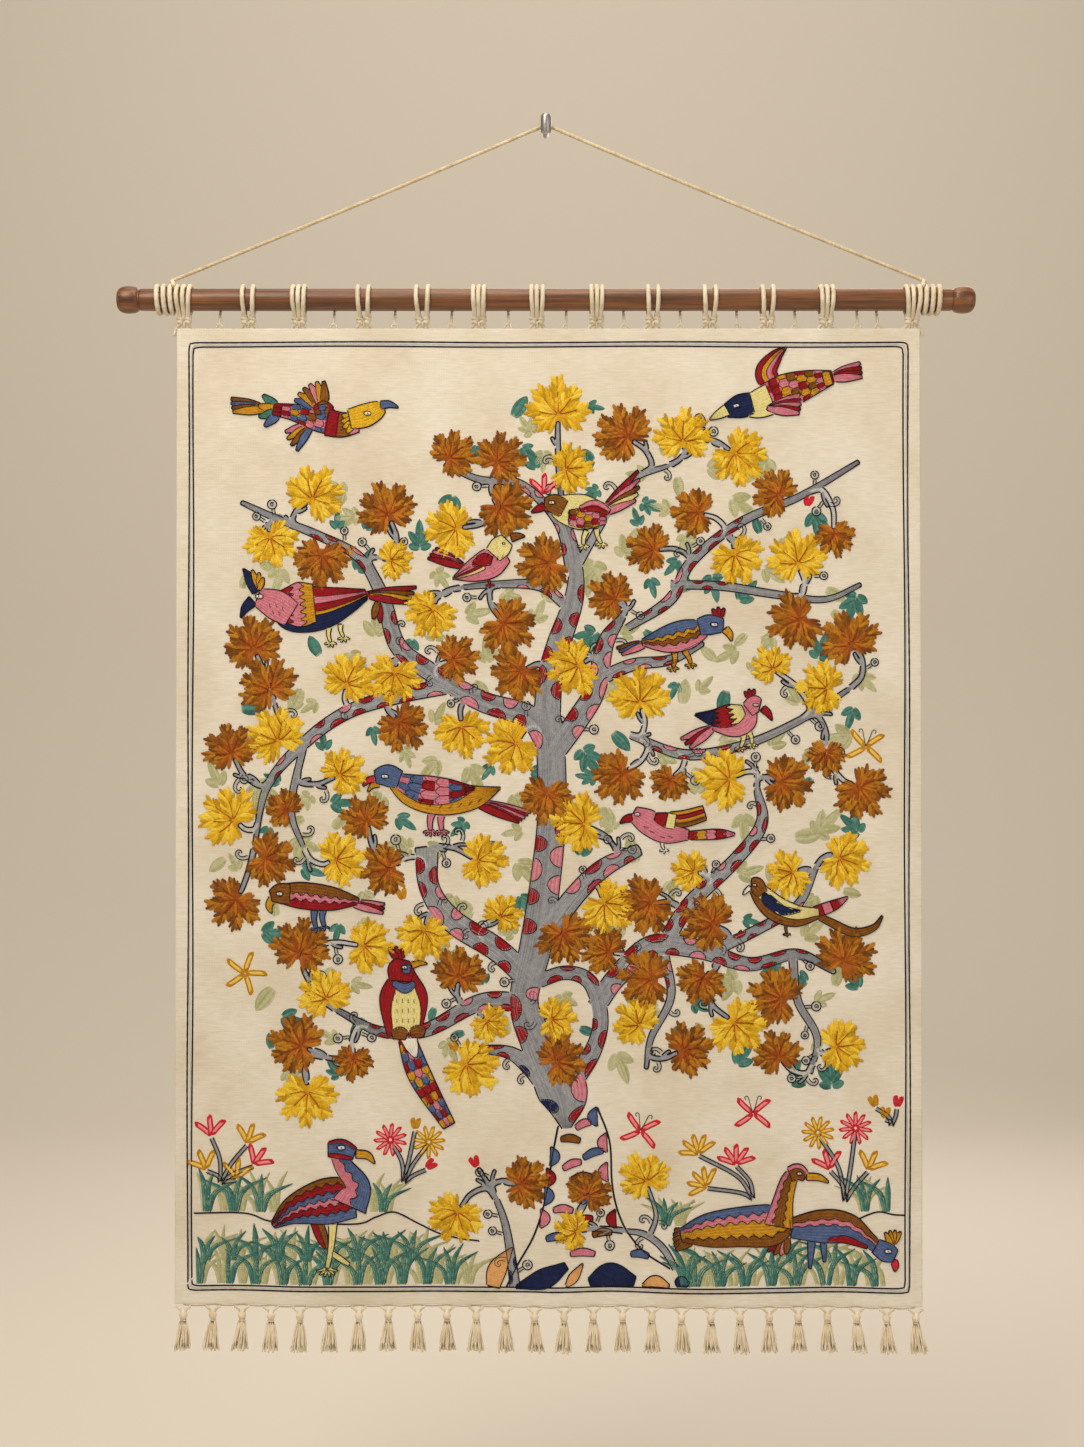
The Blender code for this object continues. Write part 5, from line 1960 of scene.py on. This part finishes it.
def long_tailed_bird():
    bird = Bird(325, 491, flip=True)
    bird.leg((32, -20), (32, -34), "bark", 1.8, 3, 5)
    bird.part([(-85, -11), (-74, -26), (-50, -32), (-22, -20), (2, -8)], (0.8, 3.5, 5, 4.5, 3), "bark")
    bird.part([(-43, 11), (-26, 1), (-2, -8)], (1, 6, 7), bands("rose crimson rose crimson", 0, 0))
    bird.part([(-8, -9), (20, -12), (44, -4), (60, 10), (72, 24)], (6, 13, 15, 13, 8),
              layers("bark straw", 0, 0, (-0.35,)))
    bird.part([(14, -6), (38, -5), (56, 8), (60, 16)], (1, 6, 7, 2), "navy")
    bird.part([(77, 23), (82, 19), (86, 14)], (3, 2.4, 0.8), "cream")
    bird.part([(62, 15), (70, 25), (76, 26)], (7, 10, 7), "bark")
    bird.eye(72, 26, 2.0)


for make_bird in (
    crested_bird, pink_breasted_bird, scaled_bird, combed_bird, pink_combed_bird, checkered_bird,
    banded_tail_bird, parrot, frontal_bird, long_tailed_bird,
):
    make_bird()


# %% Birds in the grass
def standing_bird():
    bird = Bird(-278, 126)
    bird.part([(-6, -24), (0, -40), (6, -56)], (7, 7, 2.5), layers("crimson bark", 0))
    bird.part([(8, -58), (22, -68), (34, -76)], (2.5, 3.4, 2), "straw")
    bird.leg((14, -24), (7, -80), "straw", 5.0, 6, 14)
    bird.part([(-60, -28), (-32, -8), (6, 2), (40, 6)], (4, 18, 28, 24),
              layers("slate crimson rose slate crimson bark", 9, 0.09, (-0.55, -0.2, 0.05, 0.35, 0.7)))
    bird.part([(34, -4), (44, 20), (28, 44), (20, 60)], (22, 15, 11, 9), layers("slate rose", 5, 0.18))
    bird.part([(8, 66), (24, 66), (40, 60)], (9, 12, 8), layers("crimson slate crimson", 0, 0, (-0.45, 0.6)))
    bird.part([(42, 60), (56, 58), (65, 48)], (5, 4.5, 0.8), "mustard")
    bird.eye(24, 68, 3.8)


def grazing_bird():
    bird = Bird(347, 90)
    bird.part([(-24, -8), (-25, -26), (-26, -44)], (5, 3.5, 1.5), "slate")
    bird.part([(-10, -8), (-9, -22), (-8, -36)], (4, 3, 1.5), "slate")
    bird.part([(-50, 6), (-12, 8), (20, 6), (48, -10), (66, -22)], (12, 20, 18, 9, 8),
              layers("slate rose bark", 8, 0.08, (0.08, 0.42)))
    bird.part([(-4, -9), (18, -8), (44, -17)], (3, 4.5, 2), "crimson")
    bird.fan((74, -14), 58, 118, (20, 18), "mustard mustard mustard mustard", 3.2)
    bird.part([(76, -32), (78, -39), (77, -46)], (4, 4, 0.8), "coral")
    bird.part([(54, -15), (67, -22), (78, -27)], (9, 12, 8), "slate")
    bird.eye(69, -21, 3.4)


def resting_bird():
    bird = Bird(242, 102)
    bird.fan((52, -18), 212, 262, (30, 20), "crimson bark rose bark", 4.4)
    bird.fan((-56, -12), 172, 214, (32, 36), "bark bark bark bark bark", 6.0)
    bird.part([(-80, -14), (-48, -8), (-8, -4), (32, -2), (54, 6)], (8, 20, 24, 25, 13),
              layers("bark mustard rose slate", 10, 0.11, (-0.5, 0.22, 0.58)))
    bird.part([(40, -4), (46, 28), (52, 50), (60, 64)], (18, 12, 10, 8),
              layers("mustard bark rose", 6, 0.14, (-0.35, 0.45)))
    bird.part([(54, 60), (64, 63), (74, 57)], (9, 10, 6), layers("bark rose", 0, 0, (0.5,)))
    bird.part([(75, 57), (90, 56), (102, 50)], (4.5, 4, 1.2), "mustard")
    bird.eye(66, 61, 2.6)


standing_bird()
grazing_bird()
resting_bird()
print("birds take", len(KEPT_CLEAR), "circles of the field")

# %% [markdown]
# ## Ground, grass and flowers
# The foot of the tree has a lighter trunk with bars of wool, and stands on small hills. Grass grows on
# both sides up to a wavy ground line, with daisies, three-petalled flowers and butterflies in it.

# %% Lower trunk and hills
FOOT_LEFT = [(-52, 22), (-38, 50), (-20, 82), (-9, 112), (-1, 146), (5, 186), (12, 222)]
FOOT_RIGHT = [(150, 46), (118, 66), (96, 92), (84, 120), (78, 152), (75, 202), (60, 244)]
BARS = (
    (27, 204, 24, "bark"), (43, 222, 20, "rose"), (55, 186, 26, "slate"), (29, 173, 24, "rose"),
    (41, 157, 26, "bark"), (18, 118, 24, "rose"), (52, 132, 26, "slate"), (10, 84, 26, "slate"),
    (43, 104, 24, "crimson"), (66, 88, 24, "bark"), (42, 64, 30, "rose"), (112, 62, 22, "slate"),
)
HALF_ROUNDS = (
    (-1, 184, 1, "slate"), (-6, 158, 1, "crimson"), (-8, 136, 1, "slate"), (-13, 108, 1, "rose"),
    (63, 232, -1, "slate"), (75, 200, -1, "rose"), (76, 164, -1, "rose"), (86, 106, -1, "crimson"),
)


def lower_trunk():
    for side in (FOOT_LEFT, FOOT_RIGHT):
        outline_stitch(curve(side, 2.0), 1.5)
    for x, up, length, wool in BARS:
        angle = math.radians(8 + 14 * math.sin(x + up))
        step = np.array([math.cos(angle), math.sin(angle)]) * length / 2
        spine = [(x - step[0], up - step[1]), (x, up + 2.5), (x + step[0], up + step[1])]
        outlined(spine, (3.2, 4.8, 3.2), wool)
    for x, up, way, wool in HALF_ROUNDS:
        outlined([(x + way * 3, up - 12), (x + way * 9, up), (x + way * 4, up + 12)], (0.8, 6, 0.8), wool)


HILLS = (
    ([(-68, 23), (-62, 46), (-44, 72)], (8, 11, 0.8), "peach"),
    ([(-40, 23), (-6, 34), (22, 50)], (2, 12, 5), "navy"),
    ([(22, 25), (31, 36), (42, 52)], (2, 6, 1), "peach"),
    ([(50, 29), (76, 38), (106, 30)], (5, 14, 6), "navy"),
    ([(115, 25), (131, 31), (148, 25)], (1.5, 7, 2), "peach"),
    ([(156, 27), (163, 31), (171, 27)], (3, 7, 3), "navy"),
)
for spine, halves, wool in HILLS:
    outlined(spine, halves, wool)
lower_trunk()


# %% Flowers, buds and butterflies
def petal(root, angle, length, half, wool, heart="cream", bend=0.25):
    """A petal in one thick stroke with a lighter heart line, and no black edge."""
    share = np.linspace(0, 1, 8)
    steps = turned(angle + bend * (share - 0.4)) * length / 7
    line = reals(root) + np.cumsum(steps, axis=0) - steps[:1]
    shape = np.array([0.55, 0.85, 1.0, 1.0, 1.0, 1.0, 0.9, 0.55])
    WOOL[wool].lay(line, half * shape, 1.0, 0.3, base=0.1)
    if heart:
        WOOL[wool].lay(line[1:-1], half * 0.42 * shape[1:-1], 0.9, 1.0, 0.8, base=0.75)


def stem(points, half=2.2):
    """A grey stem with black edges, or one thin black row."""
    line = curve(points, 1.8)
    if half > 1:
        WOOL["grey"].lay(line, half, FILL_LIFT)
        edge_stitches(line, half, 0.9)
    else:
        outline_stitch(line, half, 0.9)


def daisy(x, up, wool, turn, reach=20, petals=11):
    for number in range(petals):
        angle = turn + 2 * math.pi * number / petals
        root = (x + 1.2 * math.sin(angle), up + 1.2 * math.cos(angle))
        petal(root, angle, reach, 3.2, wool, bend=0.0)


def three_petals(x, up, wool, turn=0.0, size=1.0):
    for angle in (-0.75, 0.0, 0.75):
        petal((x, up), angle + turn, 27 * size, 4.4 * size, wool, bend=0.5 * angle)


def wide_fan(x, up, wool, turn=0.0, size=1.0):
    for angle in (-1.2, -0.6, 0.0, 0.6, 1.2):
        petal((x, up), angle + turn, 26 * size, 4.2 * size, wool, bend=0.2 * angle)


def star(x, up, wool, turn):
    for number in range(5):
        petal((x, up), turn + number * 2 * math.pi / 5, 29, 4.4, wool)


def butterfly(x, up, wool, turn):
    for angle in (0.85, 2.2, -0.85, -2.2):
        petal((x, up), turn + angle, 28, 4.4, wool)
    for side in (-1, 1):
        angle = turn + side * 0.3
        feel = np.array([math.sin(angle), math.cos(angle)])
        tip = np.array([x, up]) + feel * 22
        feeler = [(x, up), np.array([x, up]) + feel * 13, tip, tip + (side * 4, -1), tip + (side * 2, -5)]
        stem(feeler, half=0.6)


def bud(x, up, wool, turn=0.0, length=15):
    for side in (-0.35, 0.35):
        petal((x, up), turn + side, length, 3.8, wool, None, bend=-side * 1.6)


SPRAYS = (
    # the stems' root, then each flower: kind, place, wool, turn
    ((-403, 149), ((three_petals, -414, 207, "coral", -0.1), (three_petals, -370, 198, "mustard", 0.3),
                   (three_petals, -362, 172, "coral", 0.6), (three_petals, -420, 166, "mustard", -0.4),
                   (three_petals, -383, 154, "mustard", 0.1))),
    ((-178, 150), ((daisy, -194, 203, "coral", 0.1), (daisy, -147, 200, "mustard", 0.3),
                   (bud, -150, 168, "coral", 0.9), (bud, -164, 216, "mustard", 0.1))),
    ((251, 132), ((wide_fan, 184, 188, "mustard", -0.3), (wide_fan, 194, 148, "mustard", -0.8),
                  (wide_fan, 230, 175, "coral", 0.0))),
    ((364, 128), ((daisy, 331, 213, "mustard", 0.2), (daisy, 377, 219, "coral", 0.0),
                  (three_petals, 346, 168, "coral", -0.3), (three_petals, 392, 168, "mustard", 0.4))),
    ((420, 222), ((bud, 401, 246, "mustard", -0.3), (bud, 412, 232, "mustard", 0.1),
                  (bud, 427, 246, "coral", 0.2))),
)
LONE = (
    (three_petals, -5, 994, "coral", 0.0), (bud, -245, 918, "mustard", 0.2),
    (bud, -179, 498, "mustard", -0.2), (bud, -88, 170, "coral", -0.4),
    (bud, -113, 312, "mustard", -0.5), (bud, 318, 980, "coral", 0.3),
    (butterfly, 251, 237, "coral", 0.0), (butterfly, 113, 215, "coral", 0.2),
    (butterfly, 390, 686, "mustard", 0.1), (star, -373, 407, "mustard", 0.3),
)
for (root_x, root_up), flowers in SPRAYS:
    for kind, x, up, wool, turn in flowers:
        stem([(root_x, root_up), ((root_x * 2 + x) / 3 + 3, (root_up + up) / 2), (x, up - 2)])
for kind, x, up, wool, turn in LONE + sum((flowers for _, flowers in SPRAYS), ()):
    kind(x, up, wool, turn)


# %% Grass and the ground line
GROUND = (
    [(-436, 112), (-372, 112), (-341, 103), (-290, 101), (-234, 100), (-212, 108), (-189, 114), (-160, 100),
     (-135, 88), (-110, 82), (-84, 79)],
    [(378, 106), (392, 113), (406, 117), (422, 114), (438, 113)],
)


def blade(x, up, reach, lean, half, wool, lift):
    """A curved blade of grass in three rows of wool."""
    spine = [(x, up), (x + lean * 0.22, up + reach * 0.6), (x + lean, up + reach)]
    line, width = lofted(spine, (half * 0.9, half, 0.5), 4.0)
    for row, side in enumerate((-0.6, 0.0, 0.6)):
        WOOL[wool].lay(beside(line, side * width), width * 0.48, lift, 0.25 + 0.22 * row)


def grow_grass(draw):
    """Tufts of grass in rows, a pale layer behind a dark one, kept off the birds and the tree's foot."""
    rows = (
        # height of the roots, left end, right end, tallest blade
        (24, -430, -92, 62), (52, -424, -140, 50), (113, -426, -196, 60), (24, 176, 430, 60),
        (52, 184, 430, 46),
        (116, 384, 428, 56), (24, 168, 190, 64), (98, 140, 232, 44),
    )
    count = 0
    for wool, pitch, half, lift in (("sage", 21, 3.6, 0.5), ("teal", 31, 3.9, 1.0)):
        for up, left, right, tall in rows:
            x = left + draw.uniform(0, 6)
            while x < right:
                blades = draw.choice((3, 4, 5))
                for number in range(blades):
                    lean = (number / (blades - 1) - 0.5) * draw.uniform(50, 88) + draw.uniform(-5, 5)
                    reach = tall * draw.uniform(0.62, 1.0) * (1 - 0.006 * abs(lean))
                    root = x + lean * 0.08
                    shoot = np.array([(root + lean * s * s, up + reach * s) for s in (0, 0.35, 0.7, 1.0)])
                    if abs(shoot[-1, 0]) > 433 or not clear_of_birds(shoot).all():
                        continue
                    blade(root, up, reach, lean, half * draw.uniform(0.8, 1.1), wool, lift)
                    count += 1
                x += pitch * draw.uniform(0.8, 1.25)
    return count


for points in GROUND:
    outline_stitch(curve(points, 2.0), 1.3)
print("blades of grass:", grow_grass(random.Random(5)))

# %% [markdown]
# ## Border
# Two black lines run round the field with a pale grey wool between them.

# %% Border lines
def border_path(inset):
    """A closed path round the field, with soft corners and a hand-drawn waver."""
    x, low, high, bend = 443 - inset, 17 + inset, 1180 - inset, 9
    corners = [(-x, low), (x, low), (x, high), (-x, high)]
    path = []
    for number, corner in enumerate(corners):
        before, after = np.array(corners[number - 1], float), np.array(corners[(number + 1) % 4], float)
        corner = np.array(corner, float)
        first = corner + (before - corner) / np.linalg.norm(before - corner) * bend
        last = corner + (after - corner) / np.linalg.norm(after - corner) * bend
        path += [first, corner + (first + last - 2 * corner) * 0.15, last]
    path = even_points(np.array(path + path[:1]), 3.4)
    along = np.arange(len(path))
    return path + np.stack([0.7 * np.sin(along * 0.043 + inset), 0.6 * np.sin(along * 0.057)], axis=-1)


for inset in (0.0, 5.4):
    WOOL["black"].lay(border_path(inset), 1.3, 1.0, 0.5)
WOOL["pale_grey"].lay(border_path(2.7), 1.35, 0.7, 0.5)

# %% [markdown]
# ## Working the tree
# The limbs come first, then their spots, the leaves' places, the twigs, and the black edges last, since
# an edge is left out where it runs inside another limb or under a bird.

# %% Work the tree
tree_draw = random.Random(41)
for name, spine, halves in LIMBS:
    limb(name, spine, halves, tree_draw)
spot_limbs(tree_draw)
vine_leaves = grow_twigs(place_leaves(tree_draw, KEPT_CLEAR), tree_draw)
print("leaves", len(vine_leaves), "gap leaves", place_gap_leaves(vine_leaves, tree_draw, KEPT_CLEAR))
print("curls and buds", place_trimmings(vine_leaves, tree_draw, KEPT_CLEAR))
edge_limbs()
for leaf in vine_leaves:
    vine_leaf(*leaf, tree_draw)

# %% [markdown]
# ## From stitches to pieces
# Every stitch is now laid down on paper. The stitches of each wool become one piece that follows the
# cloth's folds, in that wool's own dyed material.

# %% Make the embroidery
for name, wool in WOOL.items():
    if wool.groups:
        wool.made(f"embroidery_{name}", crewel_wool(name, SHADES[name]))
